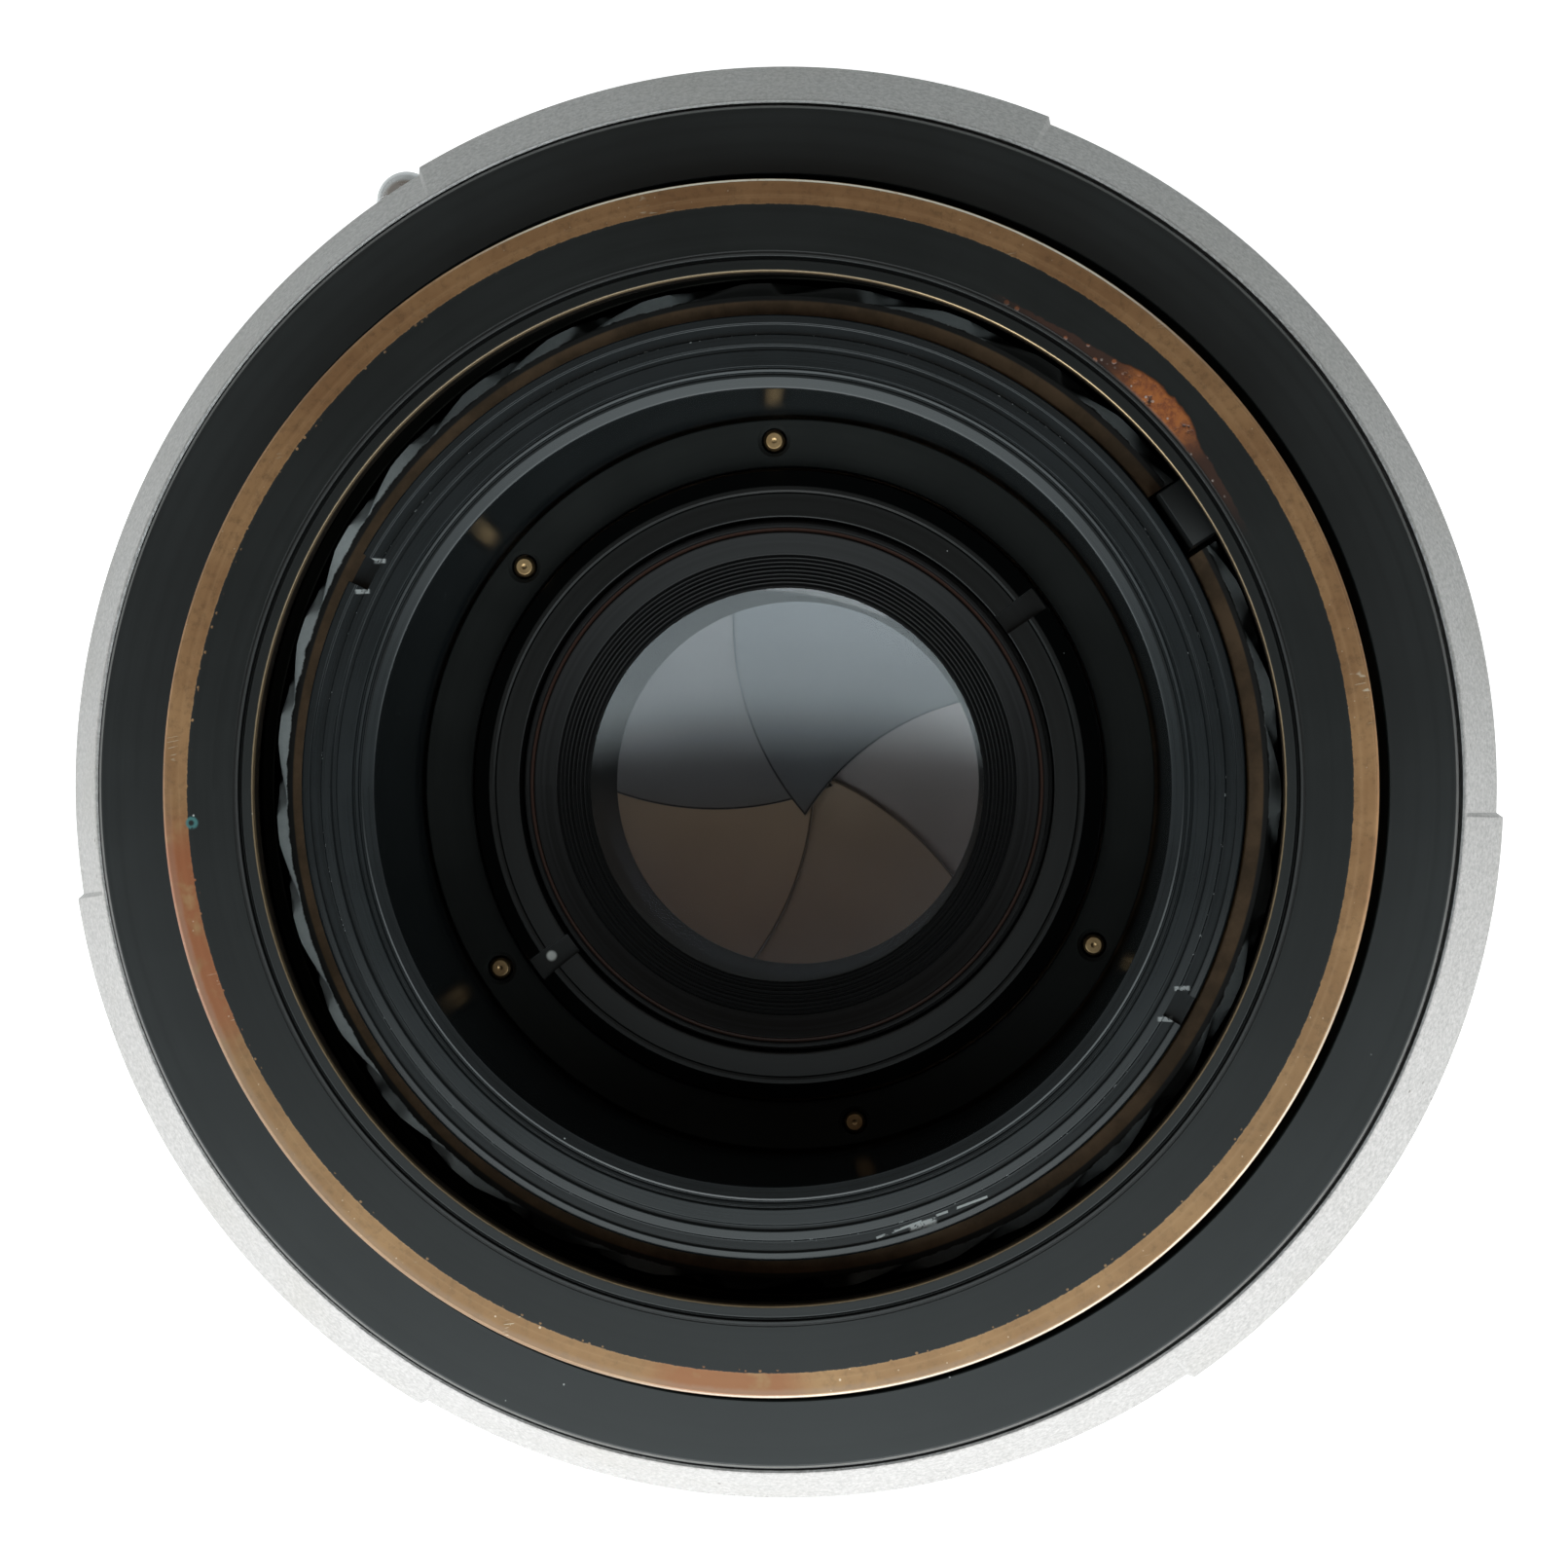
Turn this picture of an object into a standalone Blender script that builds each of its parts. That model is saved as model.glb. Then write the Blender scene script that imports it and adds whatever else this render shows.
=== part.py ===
"""Rangefinder-coupled portrait lens: glass, leaf shutter and helicoid focusing mount.

The lens stands on its front rim, with its optical axis on +Z and its rear, camera side up.
Sizes are in millimetres and become metres where a mesh is made. Angles are in degrees
about +Z. The lens is at infinity, the shutter is closed and the iris is wide open.
"""

import math

import bmesh
import bpy
from mathutils import Matrix

MM = 0.001          # metres in one unit of the sizes below
CLEAR = 0.3         # gap between pieces that seat on or run in each other
EPS = 1.0           # how far a cutter passes the surface that it cuts
BIG = 36            # facets round the large rings
MID = 24            # facets round the cells and the shutter
SMALL = 8           # facets round pins and screws

# Front cell
RIM_R = 20.5        # outer radius of the front barrel
HOOD_R = 18.9       # filter recess
HOOD_DEPTH = 8.4
FRONT_GLASS_R = 15.5
FRONT_GLASS_EDGE = 3.0
FRONT_BULGE = 3.1   # height of the front surface's crown
BEZEL_R = 14.7      # free opening of the front bezel
BEZEL_T = 1.6
SPACER_H = 3.4
MIDDLE_GLASS_EDGE = 2.6
MIDDLE_HOLLOW = 1.3
CELL_WALL = 1.6     # floor under the middle element

# Shutter
FRONT_BARREL_L = 18.0   # front barrel standing proud of the shutter's face ring
FACE_RING_T = 1.2
SPEED_RING_H = 4.4
SPEED_RING_LIP = 1.2    # how far the speed ring stands out past the case
COLLAR_RUN = 0.4    # gap round the front barrel
COLLAR_WALL = 1.8
COLLAR_R = RIM_R + COLLAR_RUN + COLLAR_WALL     # hub that the speed ring turns on
FACE_RING_STEP = 2.7    # speed ring's edge to the face ring's
CASE_WALL = 1.5
CASE_H = 17.0
CASE_BACK_T = 2.0
FRONT_PLATE_T = 1.6
NOSE_R = 14.9       # threaded noses of the two cells
NOSE_BORE_R = 12.4
NOSE_L = 1.6        # front nose past the front plate

# Blades, the same outline for shutter and iris
BLADES = 5
BLADE_PIVOT_R = 18.5
BLADE_SWING = 46.0          # closed to open
BLADE_HOLE_R = 13.2         # aperture that the open blades leave
BLADE_OVERLAP = 2.0
BLADE_OUTER_R = 25.5
BLADE_ROOM = 2.0            # case wall past the blades
CASE_R = BLADE_OUTER_R + BLADE_ROOM + CASE_WALL
CASE_IN_R = CASE_R - CASE_WALL
SPEED_RING_R = CASE_R + SPEED_RING_LIP
FACE_RING_R = SPEED_RING_R - FACE_RING_STEP
BLADE_T = 0.2
BLADE_PITCH = 0.5           # one blade's level to the next
BLADE_PIN_R = 0.6
BLADE_EYE_R = BLADE_PIN_R + CLEAR
SHUTTER_FIRST_ANGLE = 30.0
IRIS_FIRST_ANGLE = 66.0
DRIVE_ARM = 3.6             # blade pivot to the drive stud
DRIVE_STUD_R = 0.5
DRIVE_EYE_R = 0.95
DRIVE_RING_T = 0.9
DRIVE_RING_IN_R = 20.0
DRIVE_RING_OUT_R = 24.2
MECHANISM_PLATE_T = 1.2
MECHANISM_BORE_R = 12.6
IRIS_ARM = 4.0
IRIS_STUD_START = 67.0      # stud's bearing from the pivot when the iris is open
IRIS_CLOSING = 40.0         # blade turn from full aperture to the smallest stop
IRIS_RING_T = 1.0
IRIS_RING_IN_R = 14.2
IRIS_RING_OUT_R = BLADE_OUTER_R - 0.5
IRIS_RING_TURN = 40.0
SLOT_POINTS = 6             # points along each spiral slot

# Levers
ARM_W = 3.6
COCKING_ANGLE = 124.6
COCKING_TURN = 50.0
COCKING_RING_T = 1.2
COCKING_RING_W = 5.6
COCKING_RING_OUT_R = CASE_IN_R - 3 * CLEAR
COCKING_RING_IN_R = COCKING_RING_OUT_R - COCKING_RING_W
COCKING_REACH = 17.7        # arm past the case
COCKING_TIP_R = CASE_R + COCKING_REACH
KNOB_R = 1.9
KNOB_H = 6.0
KNOB_NECK_R = 0.8
APERTURE_ANGLE = 232.0
APERTURE_REACH = 6.5
APERTURE_TIP_R = CASE_R + APERTURE_REACH
LEVER_T = 1.0
LEVER_POST_R = 1.2
LEVER_POST_DEPTH = 4.3      # case wall to the levers' posts
LEVER_POST_CIRCLE_R = CASE_IN_R - LEVER_POST_DEPTH
RELEASE_ANGLE = 178.0
RELEASE_TURN = 12.0
RELEASE_REACH = 8.5
RELEASE_TIP_R = CASE_R + RELEASE_REACH
SYNC_ANGLE = 338.0
SYNC_TURN = 20.0
SYNC_REACH = 5.5
SYNC_TIP_R = CASE_R + SYNC_REACH
TAB_H = 3.2
CABLE_SOCKET_ANGLE = 203.0
CABLE_SOCKET_R = 2.6
CABLE_SOCKET_L = 6.5
CABLE_BORE_R = 1.5
FLASH_SOCKET_ANGLE = 302.0
FLASH_SOCKET_R = 2.3
FLASH_SOCKET_L = 4.6
FLASH_BORE_R = 1.7
FLASH_PIN_R = 0.5

# Rear group
FLOOR_T = 3.4               # barrel floor that the shutter is screwed to
THREAD_DEPTH = 0.65
THREAD_STARTS = 31
TOOTH_CREST_AT = 0.2        # crest's place across a tooth: blunt on its clockwise side
TOOTH_PHASE = 0.5           # teeth from +X to the first root
THREAD_RUN_OUT = 3.0        # length of thread that shows at the barrel's end
THREAD_TURN_TEETH = 1       # whole teeth that the thread winds over its run-out
THREAD_LAYERS = 1
BARREL_TOP_BELOW_CAM = 7.6
SLEEVE_WALL = 3.96
SLEEVE_TOP_BELOW_CAM = 4.0
SLEEVE_NOTCH_W = 1.6
SLEEVE_NOTCH_DEPTH = 1.1
SLEEVE_NOTCH_ANGLES = (152.0, 332.0)
PLATE_TOP_BELOW_CAM = 19.5
PLATE_T = 1.0
PIN_R = 0.6
PIN_EDGE = 1.54             # sleeve's bore to the circle of the pins
PIN_ANGLES = (92.3, 140.5, 212.5, 281.2, 332.4)
CELL_CHAMFER_W = 0.96
CELL_FACE_W = 1.8
CELL_TOP_BELOW_CAM = 17.4
CELL_BEVEL = 1.1
CELL_SLOT_W = 1.3
CELL_SLOT_DEPTH = 1.0
CELL_SLOT_ANGLE = 36.5
REAR_GLASS_R = 12.1
REAR_GLASS_SEAT = 0.7       # step that the glass rests on
BAFFLE_W = 3.4
PLATE_W = 2.78
BAND_WALL = 1.2
CELL_FACE_IN_R = REAR_GLASS_R + BAFFLE_W
CELL_FACE_R = CELL_FACE_IN_R + CELL_FACE_W
CELL_R = CELL_FACE_R + CELL_CHAMFER_W
SLEEVE_BORE_R = CELL_R + PLATE_W + 2 * CLEAR
SLEEVE_R = SLEEVE_BORE_R + SLEEVE_WALL      # black sleeve inside the brass barrel
BAND_R = SLEEVE_R + CLEAR + BAND_WALL       # root of the barrel's thread, its bare brass end
PIN_CIRCLE_R = SLEEVE_BORE_R - PIN_EDGE
REAR_GLASS_EDGE = 4.0
REAR_BULGE = 1.9
REAR_OPENING_R = REAR_GLASS_R - REAR_GLASS_SEAT
REAR_STOP_W = 2.1           # stop at the rear cell's front end, inside its opening
REAR_STOP_H = 2.0           # height of the stop's funnel
BAFFLE_STEPS = 3

# Focusing mount
REAR_STACK = 27.0           # shutter's back to the cam ring's face
NUT_RUN = 0.35              # nut's bore past the crests of the barrel's thread
NUT_BORE_R = BAND_R + THREAD_DEPTH + NUT_RUN
NUT_WALL = 0.8
NUT_TOP_BELOW_BARREL = 1.4
NUT_WEB_T = 2.3
CAM_RUN = 0.5               # cam ring's bore past the nut
CAM_WALL = 2.9
CAM_R = NUT_BORE_R + NUT_WALL + CAM_RUN + CAM_WALL
CAM_FACE_W = 4.9
CAM_LIP_R = CAM_R - CAM_FACE_W
CAM_LIP_T = 1.6
CAM_LENGTH = 17.5
CAM_CHAMFER = 0.35
CAM_LINE_FROM_LIP = 0.7
CAM_LINE_R = CAM_LIP_R + CAM_LINE_FROM_LIP
CAM_LINE_W = 0.24
CAM_PROUD = 4.6             # cam ring's face above the flange at infinity
FOCUS_TRAVEL = 8.0
CAM_TRAVEL = 4.8
KEY_ANGLE = 33.3
KEY_W = 3.4
KEY_REACH = 1.1             # how far the key's tongue reaches inside the barrel's root
KEY_TONGUE_IN_R = BAND_R - KEY_REACH
KEY_TONGUE_OUT_R = NUT_BORE_R - NUT_RUN - 0.05
KEY_EAR_R = CAM_R - CAM_WALL - CLEAR
KEY_EAR_T = 1.3
KEY_L = FOCUS_TRAVEL + 3.0  # long enough to stay in the keyway
FLANGE_RUN = 0.95           # flange's hole past the cam ring
FLANGE_W = 3.75
FLANGE_HOLE_R = CAM_R + FLANGE_RUN
FLANGE_R = FLANGE_HOLE_R + FLANGE_W
FLANGE_T = 2.8
FLANGE_EDGE = 0.5
FLANGE_TUBE_WALL = 1.35
FOCUS_CONE_W = 2.4          # width of the ring's cone, seen from the rear
FOCUS_R = FLANGE_R + CLEAR + FOCUS_CONE_W
LAND_RISE = 0.38
LAND_ROOT = 0.3             # how deep a grip land reaches into the ring
LAND_FACETS = 5
LANDS = ((67.5, 120.4), (188.8, 240.3), (305.0, 358.0))
FOCUS_CONE_H = 4.4
FOCUS_EDGE = 0.3            # soft edge between the ring's cone and its side
FOCUS_RIM_BELOW_FLANGE = 0.9
FOCUS_RING_FRONT_EDGE = 0.7
FOCUS_RECESS_WALL = 0.6
RETAINER_W = 1.2
RETAINER_H = 2.7
GUIDE_PIN_R = 0.8
GUIDE_PIN_ANGLE = 213.0
GUIDE_GROOVE_DEPTH = 1.3
WEB_SCREW_R = 0.55
WEB_SCREW_HEAD_R = 1.0
WEB_SCREW_L = 4.6
WEB_SCREW_ANGLES = (33.0, 153.0, 273.0)

# Levels along the axis, from the front rim up
Z_FACE_RING = FRONT_BARREL_L + CLEAR
Z_SPEED_RING = Z_FACE_RING + FACE_RING_T + CLEAR
Z_CASE = Z_SPEED_RING + SPEED_RING_H + CLEAR
Z_PLATE_BACK = Z_CASE + FRONT_PLATE_T
Z_CASE_BACK = Z_CASE + CASE_H
Z_SHUTTER_TOP = Z_CASE_BACK - CASE_BACK_T - CLEAR
STACK_H = (BLADES - 1) * BLADE_PITCH + BLADE_T
Z_DRIVE_TOP = Z_SHUTTER_TOP - STACK_H - CLEAR
Z_MECHANISM_TOP = Z_DRIVE_TOP - DRIVE_RING_T - CLEAR
Z_IRIS_TOP = Z_MECHANISM_TOP - MECHANISM_PLATE_T - CLEAR
Z_IRIS_RING_TOP = Z_IRIS_TOP - STACK_H - CLEAR
Z_COCKING_TOP = Z_IRIS_RING_TOP - IRIS_RING_T - CLEAR
Z_LEVER_TOP = Z_COCKING_TOP - COCKING_RING_T - CLEAR
Z_FLOOR = Z_CASE_BACK + CLEAR
Z_CAM = Z_CASE_BACK + REAR_STACK
Z_FLANGE = Z_CAM - CAM_PROUD
Z_BARREL_TOP = Z_CAM - BARREL_TOP_BELOW_CAM
Z_NUT_TOP = Z_BARREL_TOP - NUT_TOP_BELOW_BARREL
Z_NUT = Z_CASE_BACK + 4 * CLEAR
Z_RETAINER = Z_NUT + NUT_WEB_T + 3 * CLEAR
Z_SHOULDER = Z_RETAINER + RETAINER_H + CLEAR
NOSE_HOLE_R = NOSE_R + CLEAR


# ---- plane geometry ----------------------------------------------------------

def polar(radius, angle):
    """Point at a radius and an angle in degrees."""
    a = math.radians(angle)
    return (radius * math.cos(a), radius * math.sin(a))


def turned_about(point, centre, angle):
    """The point turned about a centre by an angle in degrees."""
    a = math.radians(angle)
    x, y = point[0] - centre[0], point[1] - centre[1]
    return (centre[0] + x * math.cos(a) - y * math.sin(a),
            centre[1] + x * math.sin(a) + y * math.cos(a))


def arc(centre, radius, start, end, count):
    """Points on an arc, both ends included."""
    points = []
    for i in range(count):
        x, y = polar(radius, start + (end - start) * i / (count - 1))
        points.append((centre[0] + x, centre[1] + y))
    return points


def circle(centre, radius, count):
    return arc(centre, radius, 0.0, 360.0, count + 1)[:-1]


def clip_to_disc(outline, centre, radius, count=MID):
    """The convex outline cut down to what lies in the disc."""
    rim = circle(centre, radius, count)
    for i, a in enumerate(rim):
        b = rim[(i + 1) % count]
        edge = (b[0] - a[0], b[1] - a[1])
        kept = []
        for j, p in enumerate(outline):
            q = outline[(j + 1) % len(outline)]
            side_p = edge[0] * (p[1] - a[1]) - edge[1] * (p[0] - a[0])
            side_q = edge[0] * (q[1] - a[1]) - edge[1] * (q[0] - a[0])
            if side_p >= 0:
                kept.append(p)
            if (side_p > 0 > side_q) or (side_p < 0 < side_q):
                t = side_p / (side_p - side_q)
                kept.append((p[0] + t * (q[0] - p[0]), p[1] + t * (q[1] - p[1])))
        outline = kept
    return outline


def cut_disc(outline, centre, radius, count=13):
    """The outline less a disc that crosses its edge twice."""
    def depth(p):
        return radius - math.dist(p, centre)

    def crossing(p, q):
        low, high = p, q
        for _ in range(40):
            mid = ((low[0] + high[0]) / 2, (low[1] + high[1]) / 2)
            if (depth(mid) > 0) == (depth(low) > 0):
                low = mid
            else:
                high = mid
        return low

    n = len(outline)
    first = next(i for i in range(n) if depth(outline[i - 1]) > 0 >= depth(outline[i]))
    ring = outline[first:] + outline[:first]
    free = [p for p in ring if depth(p) <= 0]
    enter = crossing(free[-1], ring[len(free)])
    leave = crossing(ring[0], ring[-1])
    start = math.degrees(math.atan2(enter[1] - centre[1], enter[0] - centre[0]))
    end = math.degrees(math.atan2(leave[1] - centre[1], leave[0] - centre[0]))
    while end > start:
        end -= 360.0
    return free + arc(centre, radius, start, end, count)


def tidy(outline, least=0.08):
    """The outline without points that crowd the one before."""
    kept = []
    for p in outline:
        if not kept or math.dist(p, kept[-1]) > least:
            kept.append(p)
    if math.dist(kept[0], kept[-1]) < least:
        kept.pop()
    return kept


def slot_outline(path, half_width, cap=4):
    """Closed outline at half_width all round a path."""
    left, right = [], []
    for i, p in enumerate(path):
        a, b = path[max(i - 1, 0)], path[min(i + 1, len(path) - 1)]
        size = math.dist(a, b)
        nx, ny = (a[1] - b[1]) / size, (b[0] - a[0]) / size
        left.append((p[0] + nx * half_width, p[1] + ny * half_width))
        right.append((p[0] - nx * half_width, p[1] - ny * half_width))

    def end_cap(centre, start_point):
        start = math.degrees(math.atan2(start_point[1] - centre[1], start_point[0] - centre[0]))
        return arc(centre, half_width, start, start + 180.0, cap)[1:-1]

    return right + end_cap(path[-1], right[-1]) + left[::-1] + end_cap(path[0], left[0])


# ---- solids ------------------------------------------------------------------

def new_turned(profile, facets):
    """Closed mesh of a (radius, z) outline turned about the axis."""
    bm = bmesh.new()
    verts = [bm.verts.new((r, 0.0, z)) for r, z in profile]
    edges = [bm.edges.new((v, verts[(i + 1) % len(verts)])) for i, v in enumerate(verts)
             if not (profile[i][0] == 0 and profile[(i + 1) % len(profile)][0] == 0)]
    bmesh.ops.spin(bm, geom=edges, cent=(0, 0, 0), axis=(0, 0, 1),
                   angle=math.tau, steps=facets, use_merge=True)
    bmesh.ops.remove_doubles(bm, verts=bm.verts, dist=1e-4)
    bmesh.ops.recalc_face_normals(bm, faces=bm.faces)
    return bm


def new_plate(outline, z0, z1, holes=()):
    """Closed mesh of a flat outline with holes, between two levels."""
    bm = bmesh.new()
    for loop in [outline, *holes]:
        verts = [bm.verts.new((x, y, z0)) for x, y in loop]
        for i, v in enumerate(verts):
            bm.edges.new((v, verts[(i + 1) % len(verts)]))
    bmesh.ops.triangle_fill(bm, use_beauty=True, use_dissolve=False, edges=bm.edges)
    grown = bmesh.ops.extrude_face_region(bm, geom=bm.faces[:])
    top = [g for g in grown["geom"] if isinstance(g, bmesh.types.BMVert)]
    bmesh.ops.translate(bm, verts=top, vec=(0, 0, z1 - z0))
    bmesh.ops.recalc_face_normals(bm, faces=bm.faces)
    return bm


def new_rod(radius, z0, z1, at=(0.0, 0.0), facets=SMALL):
    return new_plate(circle(at, radius, facets), z0, z1)


def new_radial_tube(profile, angle, z, facets=16):
    """A (radius, distance from the lens axis) outline turned about a radial line."""
    bm = new_turned(profile, facets)
    lay = Matrix.Rotation(math.radians(90), 4, "Y")
    turn = Matrix.Rotation(math.radians(angle), 4, "Z")
    bmesh.ops.transform(bm, matrix=Matrix.Translation((0, 0, z)) @ turn @ lay, verts=bm.verts)
    return bm


def new_sector(r0, r1, start, end, z0, z1, facets=5):
    """Block between two radii, two angles and two levels."""
    outer = arc((0, 0), r1, start, end, facets)
    inner = arc((0, 0), r0, end, start, facets)
    return new_plate(outer + inner, z0, z1)


def new_radial_box(r0, r1, width, angle, z0, z1):
    """Straight block along a radius."""
    corners = [(r0, -width / 2), (r1, -width / 2), (r1, width / 2), (r0, width / 2)]
    return new_plate([turned_about(c, (0, 0), angle) for c in corners], z0, z1)


MATERIALS = {
    "satin_chrome": ((0.50, 0.51, 0.51), 0.42, 1.0),
    "bright_chrome": ((0.72, 0.73, 0.74), 0.18, 1.0),
    "black_paint": ((0.022, 0.024, 0.025), 0.55, 0.0),
    "black_gloss": ((0.018, 0.022, 0.025), 0.25, 0.0),
    "brass": ((0.42, 0.29, 0.14), 0.38, 1.0),
    "steel": ((0.22, 0.22, 0.23), 0.35, 1.0),
    "blade_steel": ((0.10, 0.10, 0.11), 0.45, 1.0),
    "glass": ((0.55, 0.66, 0.72), 0.05, 0.0),
}


def material(name):
    found = bpy.data.materials.get(name)
    if found:
        return found
    colour, roughness, metallic = MATERIALS[name]
    made = bpy.data.materials.new(name)
    made.use_nodes = True
    shader = made.node_tree.nodes["Principled BSDF"]
    shader.inputs["Base Color"].default_value = (*colour, 1.0)
    shader.inputs["Roughness"].default_value = roughness
    shader.inputs["Metallic"].default_value = metallic
    return made


def add(name, bm, finish, origin=(0.0, 0.0, 0.0)):
    """Make an object of a mesh in millimetres, with its origin at a point of the lens."""
    bmesh.ops.translate(bm, verts=bm.verts, vec=[-c for c in origin])
    bmesh.ops.scale(bm, verts=bm.verts, vec=(MM, MM, MM))
    mesh = bpy.data.meshes.new(name)
    bm.to_mesh(mesh)
    bm.free()
    mesh.shade_smooth()
    mesh.set_sharp_from_angle(angle=math.radians(30))
    mesh.materials.append(material(finish))
    obj = bpy.data.objects.new(name, mesh)
    obj.location = [c * MM for c in origin]
    bpy.context.scene.collection.objects.link(obj)
    return obj


def boolean(obj, tool, operation):
    """Cut or join obj with a hidden tool mesh in millimetres."""
    name = f"{obj.name}_{operation.lower()}_{len(obj.modifiers)}"
    helper = add(name, tool, "steel")
    helper.hide_render = True
    helper.display_type = "WIRE"
    step = obj.modifiers.new(name, "BOOLEAN")
    step.operation = operation
    step.solver = "EXACT"
    step.object = helper


def cut(obj, tool):
    boolean(obj, tool, "DIFFERENCE")


def join(obj, tool):
    boolean(obj, tool, "UNION")


# ---- focusing mount ----------------------------------------------------------

def mount_flange():
    tube_r = FLANGE_HOLE_R + FLANGE_TUBE_WALL
    under = Z_FLANGE - FLANGE_T
    profile = [
        (FLANGE_HOLE_R, Z_RETAINER - CLEAR), (tube_r, Z_RETAINER - CLEAR), (tube_r, under),
        (FLANGE_R, under), (FLANGE_R, Z_FLANGE - FLANGE_EDGE),
        (FLANGE_R - FLANGE_EDGE, Z_FLANGE), (FLANGE_HOLE_R, Z_FLANGE),
    ]
    flange = add("mount_flange", new_turned(profile, BIG), "black_paint")
    cut(flange, guide_hole())


def guide_hole():
    z = guide_pin_level()
    reach = FLANGE_HOLE_R + FLANGE_TUBE_WALL
    radius = GUIDE_PIN_R + CLEAR
    outline = [(0, FLANGE_HOLE_R - EPS), (radius, FLANGE_HOLE_R - EPS),
               (radius, reach + EPS), (0, reach + EPS)]
    return new_radial_tube(outline, GUIDE_PIN_ANGLE, z, SMALL)


def guide_pin_level():
    return Z_CAM - CAM_LENGTH + CAM_TRAVEL


def cam_guide_pin():
    end = FLANGE_HOLE_R + FLANGE_TUBE_WALL - CLEAR / 2
    start = CAM_R - GUIDE_GROOVE_DEPTH + CLEAR
    outline = [(0, start), (GUIDE_PIN_R, start), (GUIDE_PIN_R, end), (0, end)]
    add("cam_guide_pin", new_radial_tube(outline, GUIDE_PIN_ANGLE, guide_pin_level(), SMALL), "steel")


def retaining_ring():
    inner = FLANGE_HOLE_R + FLANGE_TUBE_WALL + CLEAR
    outer = inner + RETAINER_W
    z1 = Z_RETAINER + RETAINER_H
    profile = [(inner, Z_RETAINER), (outer, Z_RETAINER), (outer, z1), (inner, z1)]
    add("focus_retaining_ring", new_turned(profile, BIG), "black_paint")


def web_radii():
    """Outer radius of the nut's web, and radius of its screws."""
    web = FOCUS_R - FOCUS_RECESS_WALL - CLEAR
    return web, web - WEB_SCREW_HEAD_R - 0.1


def focus_profile():
    """Outline of the focusing ring's outer side, from its front edge to its rear rim."""
    front = Z_NUT - CLEAR
    cone = focus_top() - FOCUS_CONE_H
    return [
        (FOCUS_R - FOCUS_RING_FRONT_EDGE, front), (FOCUS_R, front + FOCUS_RING_FRONT_EDGE),
        (FOCUS_R, cone), (FOCUS_R - FOCUS_EDGE, cone + FOCUS_EDGE * 1.6),
        (FLANGE_R + CLEAR, focus_top()),
    ]


def focus_top():
    return Z_FLANGE - FOCUS_RIM_BELOW_FLANGE


def focus_ring():
    rim = FLANGE_R + CLEAR
    step = Z_FLANGE - FLANGE_T - CLEAR
    bore = FLANGE_HOLE_R + FLANGE_TUBE_WALL + CLEAR
    pocket = bore + RETAINER_W + CLEAR
    web, _ = web_radii()
    profile = focus_profile() + [
        (rim, step), (bore, step), (bore, Z_SHOULDER), (pocket, Z_SHOULDER),
        (pocket, Z_NUT + NUT_WEB_T + CLEAR), (web + CLEAR, Z_NUT + NUT_WEB_T + CLEAR),
        (web + CLEAR, Z_NUT - CLEAR),
    ]
    ring = add("focus_ring", new_turned(profile, BIG), "satin_chrome")
    for start, end in LANDS:
        join(ring, grip_land(start, end))
    for angle in WEB_SCREW_ANGLES:
        at = polar(web_radii()[1], angle)
        depth = WEB_SCREW_L + CLEAR
        cut(ring, new_rod(WEB_SCREW_R + CLEAR, Z_NUT - EPS, Z_NUT + depth, at))


def grip_land(start, end):
    """Raised pad on the focusing ring between two angles."""
    front, corner, cone, edge, rim = focus_profile()
    root = FOCUS_R - LAND_ROOT
    outline = [
        (root, front[1] + LAND_ROOT), (corner[0] + LAND_RISE, corner[1] + LAND_RISE),
        (cone[0] + LAND_RISE, cone[1]), (edge[0] + LAND_RISE, edge[1]),
        (rim[0] + LAND_RISE, rim[1]), (rim[0] + LAND_ROOT, rim[1] - 2 * LAND_ROOT),
        (root, cone[1] - LAND_ROOT),
    ]
    bm = bmesh.new()
    face = bm.faces.new([bm.verts.new((r, 0, z)) for r, z in outline])
    bmesh.ops.spin(bm, geom=[face, *face.edges, *face.verts], cent=(0, 0, 0), axis=(0, 0, 1),
                   angle=math.radians(end - start), steps=LAND_FACETS)
    bmesh.ops.rotate(bm, verts=bm.verts, cent=(0, 0, 0),
                     matrix=Matrix.Rotation(math.radians(start), 3, "Z"))
    bmesh.ops.recalc_face_normals(bm, faces=bm.faces)
    return bm


def helicoid_nut():
    web, screw_r = web_radii()
    outer = NUT_BORE_R + NUT_WALL
    z1 = Z_NUT + NUT_WEB_T
    profile = [(NUT_BORE_R, Z_NUT), (web, Z_NUT), (web, z1), (outer, z1),
               (outer, Z_NUT_TOP), (NUT_BORE_R, Z_NUT_TOP)]
    nut = add("helicoid_nut", new_turned(profile, MID), "brass")
    for angle in WEB_SCREW_ANGLES:
        at = polar(screw_r, angle)
        cut(nut, new_rod(WEB_SCREW_R + CLEAR, Z_NUT - EPS, z1 + EPS, at))


def web_screws():
    _, screw_r = web_radii()
    for i, angle in enumerate(WEB_SCREW_ANGLES):
        top = Z_NUT + WEB_SCREW_L
        profile = [(0, Z_NUT - 2 * CLEAR), (WEB_SCREW_HEAD_R, Z_NUT - 2 * CLEAR),
                   (WEB_SCREW_HEAD_R, Z_NUT - CLEAR / 2), (WEB_SCREW_R, Z_NUT - CLEAR / 2),
                   (WEB_SCREW_R, top), (0, top)]
        bm = new_turned(profile, SMALL)
        bmesh.ops.translate(bm, verts=bm.verts, vec=(*polar(screw_r, angle), 0))
        add(f"focus_ring_screw_{i + 1}", bm, "steel")


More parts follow.
